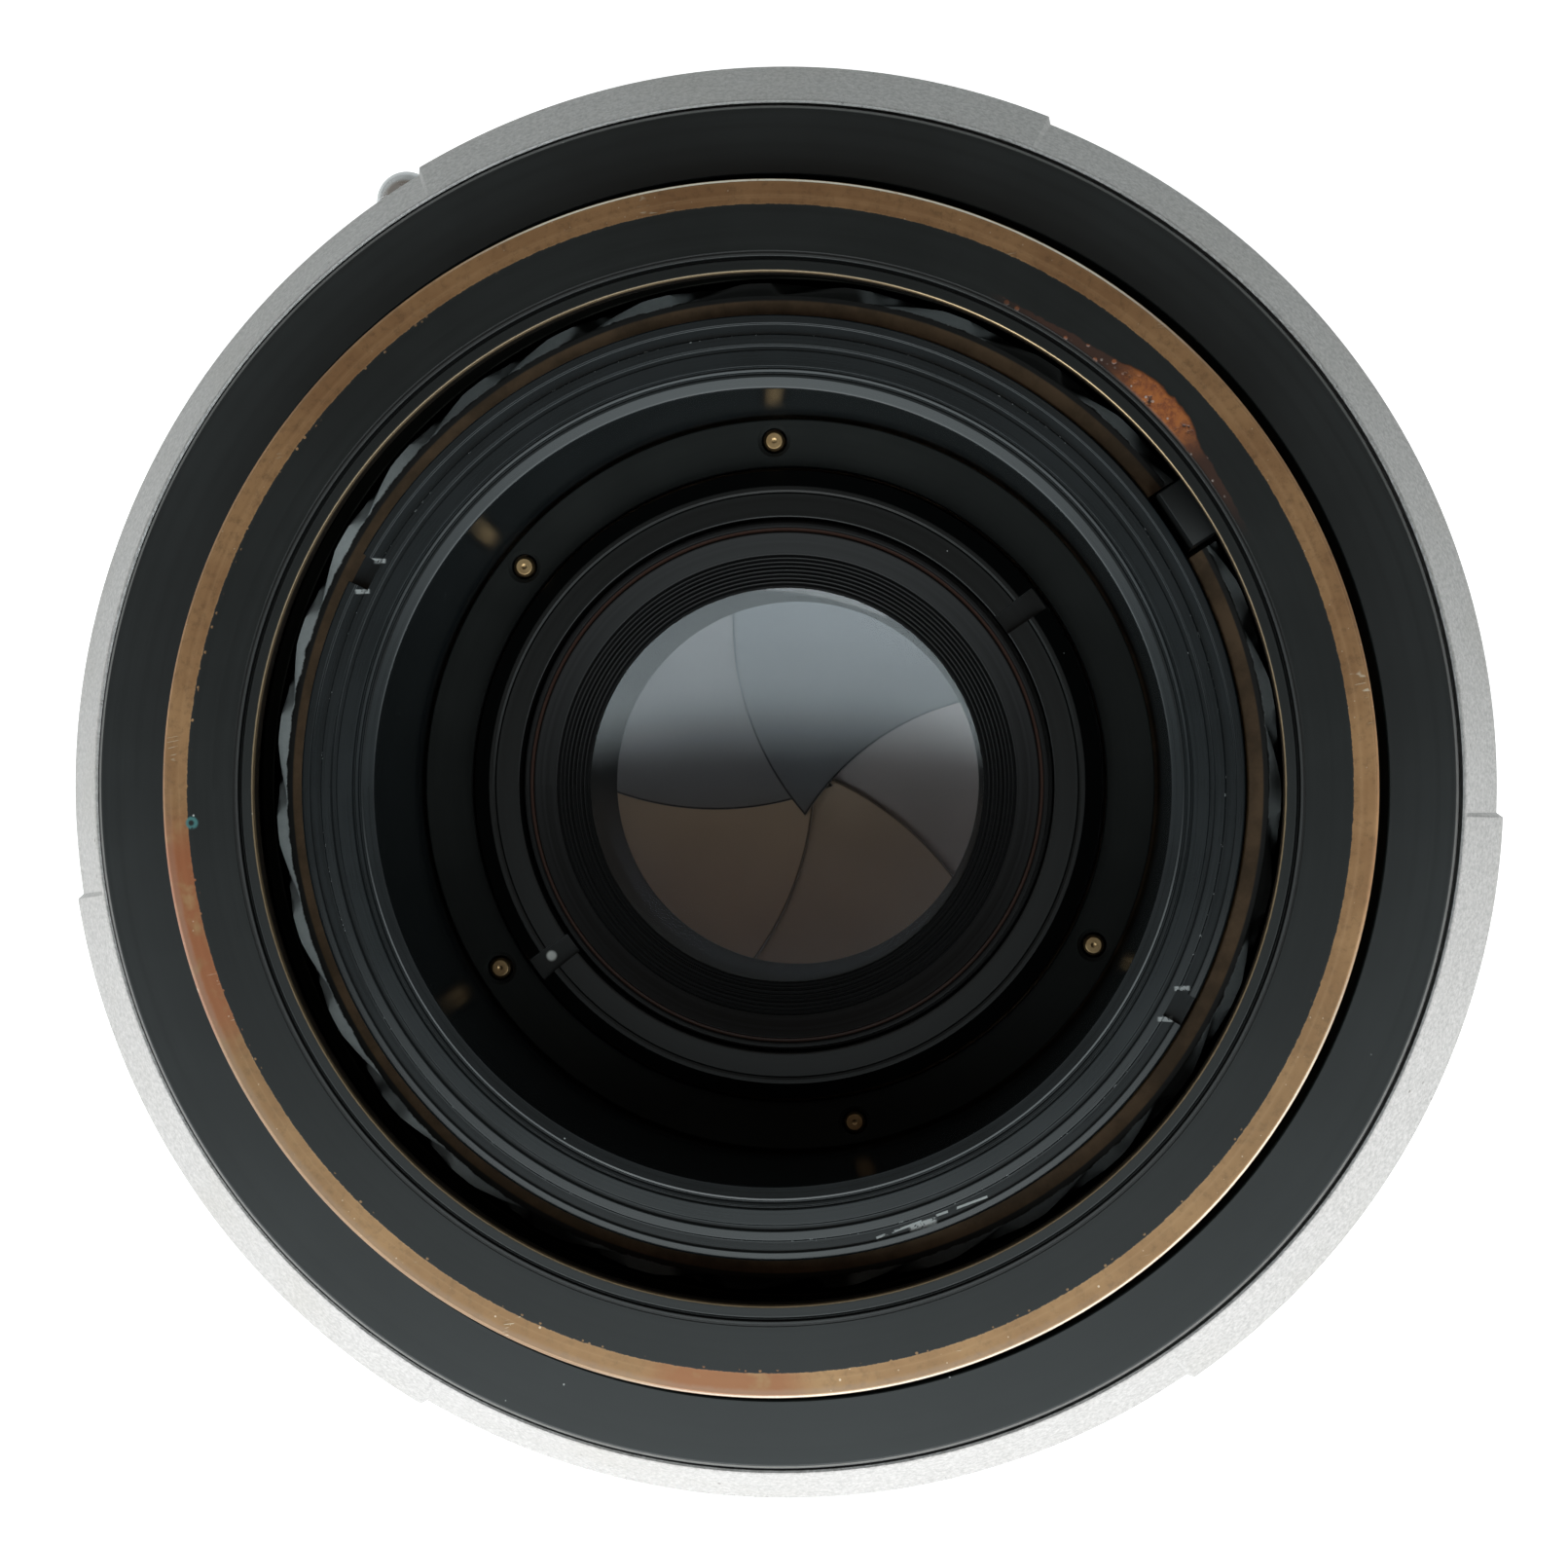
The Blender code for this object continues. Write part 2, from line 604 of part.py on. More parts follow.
def cam_ring():
    z0 = Z_CAM - CAM_LENGTH
    bore = CAM_R - CAM_WALL
    half = CAM_LINE_W / 2
    profile = [
        (bore, z0), (CAM_R, z0), (CAM_R, Z_CAM - CAM_CHAMFER), (CAM_R - CAM_CHAMFER, Z_CAM),
        (CAM_LINE_R + half, Z_CAM), (CAM_LINE_R, Z_CAM - CAM_LINE_W), (CAM_LINE_R - half, Z_CAM),
        (CAM_LIP_R, Z_CAM), (CAM_LIP_R, Z_CAM - CAM_LIP_T), (bore, Z_CAM - CAM_LIP_T),
    ]
    ring = add("rangefinder_cam_ring", new_turned(profile, BIG), "brass")
    width = 2 * (GUIDE_PIN_R + CLEAR)
    groove_top = guide_pin_level() + CAM_TRAVEL + width
    cut(ring, new_radial_box(CAM_R - GUIDE_GROOVE_DEPTH, CAM_R + EPS, width,
                             GUIDE_PIN_ANGLE, z0 - EPS, groove_top))


def helicoid_key():
    top = Z_CAM - CAM_LIP_T - CLEAR
    tongue = new_radial_box(KEY_TONGUE_IN_R, KEY_TONGUE_OUT_R, KEY_W, KEY_ANGLE, top - KEY_L, top)
    key = add("helicoid_key", tongue, "black_paint")
    join(key, new_radial_box(KEY_TONGUE_OUT_R - 0.8, KEY_EAR_R, KEY_W - 0.02, KEY_ANGLE,
                             top - KEY_EAR_T, top - 0.01))


# ---- barrel and rear group ---------------------------------------------------

def helicoid_barrel():
    floor = Z_FLOOR + FLOOR_T
    bore = BAND_R - BAND_WALL
    barrel = add("helicoid_barrel", threaded_barrel(floor, bore, CELL_R + CLEAR), "brass")
    key_top = Z_CAM - CAM_LIP_T - CLEAR
    cut(barrel, new_radial_box(bore - EPS / 2, BAND_R + THREAD_DEPTH + EPS, KEY_W + 2 * CLEAR,
                               KEY_ANGLE, key_top - KEY_L - CLEAR, Z_BARREL_TOP + EPS))
    for angle in PIN_ANGLES:
        cut(barrel, new_rod(PIN_R + CLEAR, Z_FLOOR - EPS, floor + EPS,
                            polar(PIN_CIRCLE_R, angle)))


def threaded_barrel(floor, bore, hole):
    """Barrel wall, its floor, and at its end the saw-tooth starts that wind round it.

    The starts turn by whole teeth over the run-out, so the last ring of points lies over
    the first, shifted by that many teeth.
    """
    tooth = 360.0 / THREAD_STARTS
    shift = 2 * THREAD_TURN_TEETH
    bm = bmesh.new()

    def ring(z, root, crest, turn=0.0):
        verts = []
        for i in range(THREAD_STARTS):
            for share, radius in ((0.0, root), (TOOTH_CREST_AT, crest)):
                x, y = polar(radius, (i + share + TOOTH_PHASE - turn) * tooth)
                verts.append(bm.verts.new((x, y, z)))
        return verts

    walls = [ring(Z_FLOOR, hole, hole), ring(Z_FLOOR, BAND_R, BAND_R)]
    start = Z_BARREL_TOP - THREAD_RUN_OUT
    walls.append(ring(start, BAND_R, BAND_R))
    for layer in range(THREAD_LAYERS + 1):
        share = layer / THREAD_LAYERS
        walls.append(ring(start + THREAD_DEPTH / 2 + share * (THREAD_RUN_OUT - THREAD_DEPTH / 2),
                          BAND_R, BAND_R + THREAD_DEPTH, share * THREAD_TURN_TEETH))
    thread_end = len(walls) - 1
    walls += [ring(Z_BARREL_TOP, bore, bore), ring(floor, bore, bore), ring(floor, hole, hole)]
    for k, low in enumerate(walls):
        high = walls[(k + 1) % len(walls)]
        if k == thread_end:
            low = low[shift:] + low[:shift]
        for i in range(len(low)):
            j = (i + 1) % len(low)
            bm.faces.new((low[i], low[j], high[j], high[i]))
    bmesh.ops.recalc_face_normals(bm, faces=bm.faces)
    return bm


def baffle_sleeve():
    z0 = Z_FLOOR + FLOOR_T + CLEAR
    top = Z_CAM - SLEEVE_TOP_BELOW_CAM
    profile = [
        (SLEEVE_BORE_R, z0), (SLEEVE_R, z0), (SLEEVE_R, top - 0.5), (SLEEVE_R - 0.5, top),
        (SLEEVE_R - 1.5, top), (SLEEVE_R - 1.5, top - 0.25), (SLEEVE_BORE_R + 1.1, top - 0.25),
        (SLEEVE_BORE_R + 0.8, top - 0.5), (SLEEVE_BORE_R, top - 0.5),
    ]
    sleeve = add("baffle_sleeve", new_turned(profile, MID), "black_gloss")
    for angle in SLEEVE_NOTCH_ANGLES:
        cut(sleeve, new_radial_box(SLEEVE_R - SLEEVE_NOTCH_DEPTH, SLEEVE_R + EPS, SLEEVE_NOTCH_W,
                                   angle, top - 1.2, top + EPS))


def pin_plate():
    top = Z_CAM - PLATE_TOP_BELOW_CAM
    inner, outer = CELL_R + CLEAR, SLEEVE_BORE_R - CLEAR
    z0 = top - PLATE_T
    holes = [circle((0, 0), inner, MID)]
    holes += [circle(polar(PIN_CIRCLE_R, angle), PIN_R + CLEAR, SMALL) for angle in PIN_ANGLES]
    add("pin_plate", new_plate(circle((0, 0), outer, MID), z0, top, holes), "black_paint")


def plate_pins():
    top = Z_CAM - PLATE_TOP_BELOW_CAM
    for i, angle in enumerate(PIN_ANGLES):
        z0 = Z_CASE_BACK - CASE_BACK_T + CLEAR
        profile = [(0, z0), (PIN_R, z0), (PIN_R, top - 0.12), (PIN_R - 0.12, top), (0, top)]
        bm = new_turned(profile, SMALL)
        bmesh.ops.translate(bm, verts=bm.verts, vec=(*polar(PIN_CIRCLE_R, angle), 0))
        add(f"plate_pin_{i + 1}", bm, "brass")


def rear_glass_levels():
    """Lowest edge, highest edge and crown of the rear element."""
    edge = Z_CAM - CELL_TOP_BELOW_CAM - 1.3
    return edge - REAR_GLASS_EDGE, edge, edge + REAR_BULGE


def rear_cell_body():
    top = Z_CAM - CELL_TOP_BELOW_CAM
    low, edge, _ = rear_glass_levels()
    counterbore = edge - 0.4
    profile = [
        (REAR_OPENING_R - REAR_STOP_W, Z_SHUTTER_TOP + CLEAR), (NOSE_R, Z_SHUTTER_TOP + CLEAR), (NOSE_R, Z_FLOOR),
        (CELL_R, Z_FLOOR), (CELL_R, top - CELL_BEVEL), (CELL_FACE_R, top), (CELL_FACE_IN_R, top),
        (CELL_FACE_IN_R, counterbore), (REAR_GLASS_R + CLEAR, counterbore),
        (REAR_GLASS_R + CLEAR, low - CLEAR), (REAR_OPENING_R, low - CLEAR),
        (REAR_OPENING_R, Z_SHUTTER_TOP + CLEAR + REAR_STOP_H),
    ]
    cell = add("rear_cell_body", new_turned(profile, MID), "black_paint")
    for angle in (CELL_SLOT_ANGLE, CELL_SLOT_ANGLE + 180.0):
        cut(cell, new_radial_box(CELL_FACE_IN_R - EPS, CELL_R + EPS, CELL_SLOT_W, angle,
                                 top - CELL_SLOT_DEPTH, top + EPS))


def rear_baffle_ring():
    top = Z_CAM - CELL_TOP_BELOW_CAM
    _, edge, _ = rear_glass_levels()
    outer = CELL_FACE_IN_R - CLEAR
    cone_end = outer - 1.8
    step_w = (cone_end - REAR_OPENING_R) / BAFFLE_STEPS
    step_h = 0.07
    profile = [(outer, edge - 0.1), (outer, top - 0.1), (cone_end, top - 0.35)]
    for i in range(BAFFLE_STEPS):
        r = cone_end - i * step_w
        z = top - 0.35 - i * step_h
        profile += [(r - step_w * 0.8, z), (r - step_w, z - step_h)]
    profile += [(REAR_OPENING_R, edge + 0.45), (REAR_GLASS_R + CLEAR, edge + 0.35),
                (REAR_GLASS_R + CLEAR, edge - 0.1)]
    add("rear_baffle_ring", new_turned(profile, MID), "black_paint")


def crowned(radius, edge_z, crown, steps):
    """Points of a spherical face from the edge to the axis; crown may be negative."""
    ball = (radius ** 2 + crown ** 2) / (2 * abs(crown))
    sign = 1 if crown > 0 else -1
    points = []
    for i in range(steps + 1):
        r = radius * (1 - i / steps)
        points.append((r, edge_z + crown - sign * (ball - math.sqrt(ball ** 2 - r ** 2))))
    return points


def rear_element():
    low, edge, _ = rear_glass_levels()
    rear = crowned(REAR_GLASS_R, edge, REAR_BULGE, 4)
    front = crowned(REAR_GLASS_R, low, 0.5, 2)
    add("rear_element", new_turned(rear + front[::-1], MID), "glass")


# ---- shutter -----------------------------------------------------------------

def shutter_case():
    inner_back = Z_CASE_BACK - CASE_BACK_T
    edge = 0.6
    profile = [
        (CASE_IN_R, Z_CASE), (CASE_R, Z_CASE), (CASE_R, Z_CASE_BACK - edge),
        (CASE_R - edge, Z_CASE_BACK), (NOSE_HOLE_R, Z_CASE_BACK), (NOSE_HOLE_R, inner_back),
        (CASE_IN_R, inner_back),
    ]
    case = add("shutter_case", new_turned(profile, MID), "black_paint")
    for k in range(BLADES):
        at = polar(BLADE_PIVOT_R, SHUTTER_FIRST_ANGLE + 360.0 / BLADES * k)
        join(case, new_rod(BLADE_PIN_R, Z_DRIVE_TOP + CLEAR, inner_back + 0.5, at))
    for angle in PIN_ANGLES:
        cut(case, new_rod(PIN_R + CLEAR, inner_back - EPS, Z_CASE_BACK + EPS,
                          polar(PIN_CIRCLE_R, angle)))
    for start, end, z0, z1 in lever_slots():
        cut(case, new_sector(CASE_IN_R - EPS, CASE_R + EPS, start, end, z0, z1))


def slot_half_angle(width):
    """Half the angle that a lever of this width needs at the case wall, with clearance."""
    return math.degrees((width / 2 + 2 * CLEAR) / CASE_IN_R)


def lever_slots():
    """Angles and levels of the slots that the levers leave the case through."""
    half = slot_half_angle(ARM_W)
    swing = (CASE_R - LEVER_POST_CIRCLE_R) / CASE_IN_R
    lever_low = Z_LEVER_TOP - LEVER_T
    return [
        (COCKING_ANGLE - COCKING_TURN - half, COCKING_ANGLE + half,
         Z_COCKING_TOP - COCKING_RING_T - CLEAR, Z_COCKING_TOP + CLEAR),
        (APERTURE_ANGLE - half, APERTURE_ANGLE + IRIS_RING_TURN + half,
         Z_IRIS_RING_TOP - IRIS_RING_T - CLEAR, Z_IRIS_RING_TOP + CLEAR),
        (RELEASE_ANGLE - half - RELEASE_TURN * swing, RELEASE_ANGLE + half,
         lever_low - CLEAR, Z_LEVER_TOP + CLEAR),
        (SYNC_ANGLE - half, SYNC_ANGLE + half + SYNC_TURN * swing,
         lever_low - CLEAR, Z_LEVER_TOP + CLEAR),
    ]


def front_plate():
    collar_in = COLLAR_R - COLLAR_WALL
    plate_r = CASE_IN_R - CLEAR
    profile = [
        (NOSE_HOLE_R, Z_CASE), (collar_in, Z_CASE), (collar_in, Z_SPEED_RING),
        (COLLAR_R, Z_SPEED_RING), (COLLAR_R, Z_CASE), (plate_r, Z_CASE),
        (plate_r, Z_PLATE_BACK), (NOSE_HOLE_R, Z_PLATE_BACK),
    ]
    plate = add("front_plate", new_turned(profile, MID), "black_paint")
    for angle in (RELEASE_ANGLE, SYNC_ANGLE):
        at = polar(LEVER_POST_CIRCLE_R, angle)
        join(plate, new_rod(LEVER_POST_R, Z_PLATE_BACK - 0.5, Z_LEVER_TOP, at))


def face_ring():
    inner = COLLAR_R - COLLAR_WALL
    outer = FACE_RING_R
    z1 = Z_FACE_RING + FACE_RING_T
    profile = [(inner, Z_FACE_RING), (outer - 0.4, Z_FACE_RING), (outer, Z_FACE_RING + 0.4),
               (outer, z1), (inner, z1)]
    add("shutter_face_ring", new_turned(profile, MID), "black_paint")


def speed_ring():
    inner = COLLAR_R + CLEAR
    z0, z1 = Z_SPEED_RING, Z_SPEED_RING + SPEED_RING_H
    profile = [
        (inner, z0), (FACE_RING_R + 0.3, z0), (SPEED_RING_R - 0.8, z0 + 1.2), (SPEED_RING_R, z0 + 1.6),
        (SPEED_RING_R, z1 - 0.4), (SPEED_RING_R - 0.4, z1), (inner, z1),
    ]
    add("speed_ring", new_turned(profile, MID), "satin_chrome")


def blade_outline():
    """Closed blade with its pivot at angle 0, by the circles that a blade is cut from."""
    pivot = (BLADE_PIVOT_R, 0.0)
    own_hole = turned_about((0, 0), pivot, BLADE_SWING)
    next_hole = turned_about(own_hole, (0, 0), 360.0 / BLADES)
    pin_gap = 2 * BLADE_PIVOT_R * math.sin(math.pi / BLADES)
    reach = pin_gap - BLADE_PIN_R - CLEAR
    outline = circle(next_hole, BLADE_HOLE_R + BLADE_OVERLAP, MID)
    outline = clip_to_disc(outline, pivot, reach)
    outline = clip_to_disc(outline, own_hole, CASE_IN_R - 2 * CLEAR)
    outline = clip_to_disc(outline, (0, 0), BLADE_OUTER_R)
    return tidy(cut_disc(outline, own_hole, BLADE_HOLE_R))


def drive_stud_bearing():
    """Bearing of the drive stud from the closed blade's pivot, its distance, and ring angle."""
    half = BLADE_SWING / 2
    x = BLADE_PIVOT_R + DRIVE_ARM * math.cos(math.radians(half))
    y = DRIVE_ARM * math.sin(math.radians(half))
    radius = math.hypot(x, y)
    return half, radius, math.degrees(math.atan2(y, x))


def blade_at(outline, holes, angle, z0, turn=0.0):
    """Blade plate of the closed outline, turned about its pivot, at an angle of the shutter."""
    pivot = (BLADE_PIVOT_R, 0.0)

    def place(point):
        return turned_about(turned_about(point, pivot, turn), (0, 0), angle)

    loops = [[place(p) for p in loop] for loop in [outline, *holes]]
    return new_plate(loops[0], z0, z0 + BLADE_T, loops[1:])


def shutter_blades():
    pivot = (BLADE_PIVOT_R, 0.0)
    half, radius, _ = drive_stud_bearing()
    mid_arm = (DRIVE_ARM + radius - BLADE_PIVOT_R) / 2
    x, y = polar(mid_arm, half)
    holes = [circle(pivot, BLADE_EYE_R, SMALL),
             circle((pivot[0] + x, pivot[1] + y), DRIVE_EYE_R, SMALL)]
    outline = blade_outline()
    for k in range(BLADES):
        angle = SHUTTER_FIRST_ANGLE + 360.0 / BLADES * k
        z0 = Z_SHUTTER_TOP - BLADE_T - k * BLADE_PITCH
        add(f"shutter_blade_{k + 1}", blade_at(outline, holes, angle, z0), "blade_steel",
            (*polar(BLADE_PIVOT_R, angle), z0))


def blade_drive_ring():
    top = Z_DRIVE_TOP
    profile = [(DRIVE_RING_IN_R, top - DRIVE_RING_T), (DRIVE_RING_OUT_R, top - DRIVE_RING_T),
               (DRIVE_RING_OUT_R, top), (DRIVE_RING_IN_R, top)]
    ring = add("blade_drive_ring", new_turned(profile, MID), "steel")
    _, radius, lead = drive_stud_bearing()
    for k in range(BLADES):
        at = polar(radius, SHUTTER_FIRST_ANGLE + lead + 360.0 / BLADES * k)
        join(ring, new_rod(DRIVE_STUD_R, top - 0.4, Z_SHUTTER_TOP, at))


def mechanism_plate():
    outer = CASE_IN_R - CLEAR
    z0 = Z_MECHANISM_TOP - MECHANISM_PLATE_T
    profile = [(MECHANISM_BORE_R, z0), (outer, z0), (outer, Z_MECHANISM_TOP),
               (MECHANISM_BORE_R, Z_MECHANISM_TOP)]
    plate = add("mechanism_plate", new_turned(profile, MID), "steel")
    for k in range(BLADES):
        at = polar(BLADE_PIVOT_R, IRIS_FIRST_ANGLE + 360.0 / BLADES * k)
        join(plate, new_rod(BLADE_PIN_R, Z_IRIS_RING_TOP + CLEAR, z0 + 0.5, at))


def iris_stud(turn):
    """Place of an iris blade's stud after the blade has turned towards closed."""
    x, y = polar(IRIS_ARM, IRIS_STUD_START + turn)
    return (BLADE_PIVOT_R + x, y)


def iris_blades():
    pivot = (BLADE_PIVOT_R, 0.0)
    outline = blade_outline()
    holes = [circle(pivot, BLADE_EYE_R, SMALL)]
    ring_low = Z_IRIS_RING_TOP - IRIS_RING_T
    for k in range(BLADES):
        angle = IRIS_FIRST_ANGLE + 360.0 / BLADES * k
        z0 = Z_IRIS_TOP - BLADE_T - k * BLADE_PITCH
        bm = blade_at(outline, holes, angle, z0, -BLADE_SWING)
        blade = add(f"iris_blade_{k + 1}", bm, "blade_steel", (*polar(BLADE_PIVOT_R, angle), z0))
        at = turned_about(iris_stud(0.0), (0, 0), angle)
        join(blade, new_rod(DRIVE_STUD_R, ring_low + CLEAR, z0 + BLADE_T / 2, at))


def iris_cam_ring():
    """Ring whose spiral slots swing the iris blades, with the arm that the hand moves."""
    slots = []
    for k in range(BLADES):
        path = []
        for i in range(SLOT_POINTS):
            share = i / (SLOT_POINTS - 1)
            point = iris_stud(IRIS_CLOSING * share)
            angle = IRIS_FIRST_ANGLE + 360.0 / BLADES * k - IRIS_RING_TURN * share
            path.append(turned_about(point, (0, 0), angle))
        slots.append(slot_outline(path, DRIVE_STUD_R + CLEAR))
    bore = circle((0, 0), IRIS_RING_IN_R, MID)
    half = math.degrees(ARM_W / 2 / IRIS_RING_OUT_R)
    rim = arc((0, 0), IRIS_RING_OUT_R, APERTURE_ANGLE + half, APERTURE_ANGLE + 360.0 - half, MID)
    arm = [turned_about(p, (0, 0), APERTURE_ANGLE)
           for p in arc((APERTURE_TIP_R - ARM_W / 2, 0), ARM_W / 2, -90, 90, 7)]
    eye = circle(polar(APERTURE_TIP_R - ARM_W / 2, APERTURE_ANGLE), KNOB_NECK_R + CLEAR, SMALL)
    bm = new_plate(rim + arm, Z_IRIS_RING_TOP - IRIS_RING_T, Z_IRIS_RING_TOP, [bore, *slots, eye])
    add("iris_cam_ring", bm, "steel")


def new_knob(at, plate_low, plate_top, radius, height):
    """Riveted finger knob: a head on each side of the arm and a neck through its eye."""
    low, top = plate_low - CLEAR, plate_top + CLEAR
    head = (height - (top - low)) / 2
    soft = radius * 0.3
    profile = [(0, low - head), (radius - soft, low - head), (radius, low - head + soft),
               (radius, low), (KNOB_NECK_R, low), (KNOB_NECK_R, top), (radius, top),
               (radius, top + head - soft), (radius - soft, top + head), (0, top + head)]
    bm = new_turned(profile, SMALL)
    bmesh.ops.translate(bm, verts=bm.verts, vec=(*at, 0))
    return bm


def aperture_pointer():
    at = polar(APERTURE_TIP_R - ARM_W / 2, APERTURE_ANGLE)
    low = Z_IRIS_RING_TOP - IRIS_RING_T
    add("aperture_pointer", new_knob(at, low, Z_IRIS_RING_TOP, ARM_W / 2 - 0.2, 4.2), "bright_chrome")


def cocking_ring():
    half = math.degrees(ARM_W / 2 / COCKING_RING_OUT_R)
    rim = arc((0, 0), COCKING_RING_OUT_R, COCKING_ANGLE + half, COCKING_ANGLE + 360.0 - half, MID)
    end = COCKING_TIP_R - KNOB_R
    arm = [turned_about(p, (0, 0), COCKING_ANGLE) for p in arc((end, 0), KNOB_R - 0.3, -90, 90, 7)]
    bore = circle((0, 0), COCKING_RING_IN_R, MID)
    eye = circle(polar(end, COCKING_ANGLE), KNOB_NECK_R + CLEAR, SMALL)
    low = Z_COCKING_TOP - COCKING_RING_T
    add("cocking_ring", new_plate(rim + arm, low, Z_COCKING_TOP, [bore, eye]), "steel")
    knob = new_knob(polar(end, COCKING_ANGLE), low, Z_COCKING_TOP, KNOB_R, KNOB_H)
    add("cocking_knob", knob, "bright_chrome")


def new_lever(angle, tip_r):
    """Flat lever on a post of the front plate, with a finger tab outside the case."""
    eye_r = LEVER_POST_R + 1.3
    post = (LEVER_POST_CIRCLE_R, 0.0)
    half = ARM_W / 2 - 0.4
    body = arc(post, eye_r, 45, 315, 10) + arc((tip_r - half, 0), half, -90, 90, 7)
    hole = circle(post, LEVER_POST_R + CLEAR, SMALL)
    loops = [[turned_about(p, (0, 0), angle) for p in loop] for loop in (body, hole)]
    return new_plate(loops[0], Z_LEVER_TOP - LEVER_T, Z_LEVER_TOP, [loops[1]])


def levers():
    for name, angle, tip_r in (("release_lever", RELEASE_ANGLE, RELEASE_TIP_R),
                               ("sync_lever", SYNC_ANGLE, SYNC_TIP_R)):
        origin = (*polar(LEVER_POST_CIRCLE_R, angle), Z_LEVER_TOP)
        lever = add(name, new_lever(angle, tip_r), "bright_chrome", origin)
        tab = new_sector(tip_r - 1.2, tip_r + 0.3, angle - 3.4, angle + 3.4,
                         Z_LEVER_TOP - LEVER_T - TAB_H, Z_LEVER_TOP - LEVER_T / 2, 5)
        join(lever, tab)


def cable_socket():
    start = CASE_R + CLEAR
    end = start + CABLE_SOCKET_L
    z = (Z_CASE + Z_CASE_BACK) / 2
    profile = [(0, start), (CABLE_SOCKET_R, start), (CABLE_SOCKET_R, end - 0.5),
               (CABLE_SOCKET_R - 0.5, end), (CABLE_BORE_R, end), (CABLE_BORE_R * 0.6, start + 1.5),
               (0, start + 1.5)]
    add("cable_release_socket", new_radial_tube(profile, CABLE_SOCKET_ANGLE, z), "bright_chrome")


def flash_socket():
    start = CASE_R + CLEAR
    end = start + FLASH_SOCKET_L
    z = (Z_CASE + Z_CASE_BACK) / 2
    profile = [(0, start), (FLASH_SOCKET_R, start), (FLASH_SOCKET_R, end), (FLASH_BORE_R, end),
               (FLASH_BORE_R, start + 0.8), (0, start + 0.8)]
    add("flash_socket", new_radial_tube(profile, FLASH_SOCKET_ANGLE, z), "bright_chrome")
    base, tip = start + 0.8 + CLEAR, end - 0.6
    pin = [(0, base), (FLASH_PIN_R, base), (FLASH_PIN_R, tip - 0.2), (FLASH_PIN_R - 0.2, tip), (0, tip)]
    add("flash_contact_pin", new_radial_tube(pin, FLASH_SOCKET_ANGLE, z, SMALL), "brass")


# ---- front cell --------------------------------------------------------------

def front_levels():
    """Levels of the front element's edge, the middle element's edge and the cell floor."""
    front = HOOD_DEPTH + 2 * CLEAR
    middle = front + FRONT_GLASS_EDGE + SPACER_H + 2 * CLEAR
    return front, middle, middle + MIDDLE_GLASS_EDGE + CLEAR


def front_cell_body():
    back = Z_CASE - CLEAR
    nose = Z_PLATE_BACK + NOSE_L
    bore = FRONT_GLASS_R + CLEAR
    _, _, floor = front_levels()
    profile = [
        (HOOD_R, 0.0), (RIM_R - 0.4, 0.0), (RIM_R, 0.4), (RIM_R, back), (NOSE_R, back),
        (NOSE_R, nose), (NOSE_BORE_R, nose), (NOSE_BORE_R, floor + CELL_WALL),
        (NOSE_BORE_R + 0.8, floor), (bore, floor), (bore, HOOD_DEPTH + CLEAR),
        (HOOD_R, HOOD_DEPTH + CLEAR),
    ]
    add("front_cell_body", new_turned(profile, MID), "black_paint")


def front_bezel_ring():
    outer = HOOD_R - CLEAR
    z1 = HOOD_DEPTH
    profile = [(BEZEL_R, z1 - 0.6), (BEZEL_R + 0.5, z1 - BEZEL_T), (outer, z1 - BEZEL_T - 0.5),
               (outer, z1), (BEZEL_R, z1)]
    add("front_bezel_ring", new_turned(profile, MID), "black_gloss")


def front_elements():
    front, middle, _ = front_levels()
    r = FRONT_GLASS_R
    crown = [(x, z) for x, z in crowned(r - 1.1, front + 0.1, -FRONT_BULGE, 4)]
    back = crowned(r, front + FRONT_GLASS_EDGE, -0.5, 2)
    outline = back[::-1] + [(r, front), *crown]
    add("front_element", new_turned(outline[::-1], MID), "glass")
    z0 = front + FRONT_GLASS_EDGE + CLEAR
    profile = [(r - 1.2, z0), (r, z0), (r, z0 + SPACER_H), (r - 1.2, z0 + SPACER_H)]
    add("element_spacer", new_turned(profile, MID), "black_paint")
    low = crowned(r - 1.4, middle, MIDDLE_HOLLOW, 3)
    high = crowned(r - 1.4, middle + MIDDLE_GLASS_EDGE, -0.8, 2)
    outline = [(r, middle + MIDDLE_GLASS_EDGE), *high, *low[::-1], (r, middle)]
    add("middle_element", new_turned(outline, MID), "glass")


def main():
    for obj in list(bpy.data.objects):
        bpy.data.objects.remove(obj, do_unlink=True)
    mount_flange()
    cam_guide_pin()
    retaining_ring()
    focus_ring()
    helicoid_nut()
    web_screws()
    cam_ring()
    helicoid_key()
    helicoid_barrel()
    baffle_sleeve()
    pin_plate()
    plate_pins()
    rear_cell_body()
    rear_baffle_ring()
    rear_element()
    shutter_case()
    front_plate()
    face_ring()
    speed_ring()
    shutter_blades()
    blade_drive_ring()
    mechanism_plate()
    iris_blades()
    iris_cam_ring()
    aperture_pointer()
    cocking_ring()
    levers()
    cable_socket()
    flash_socket()
    front_cell_body()
    front_bezel_ring()
    front_elements()


main()
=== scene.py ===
"""Looks of the portrait lens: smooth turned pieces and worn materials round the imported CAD."""

import math

import bmesh
import bpy
import numpy as np
from mathutils import Matrix, Vector


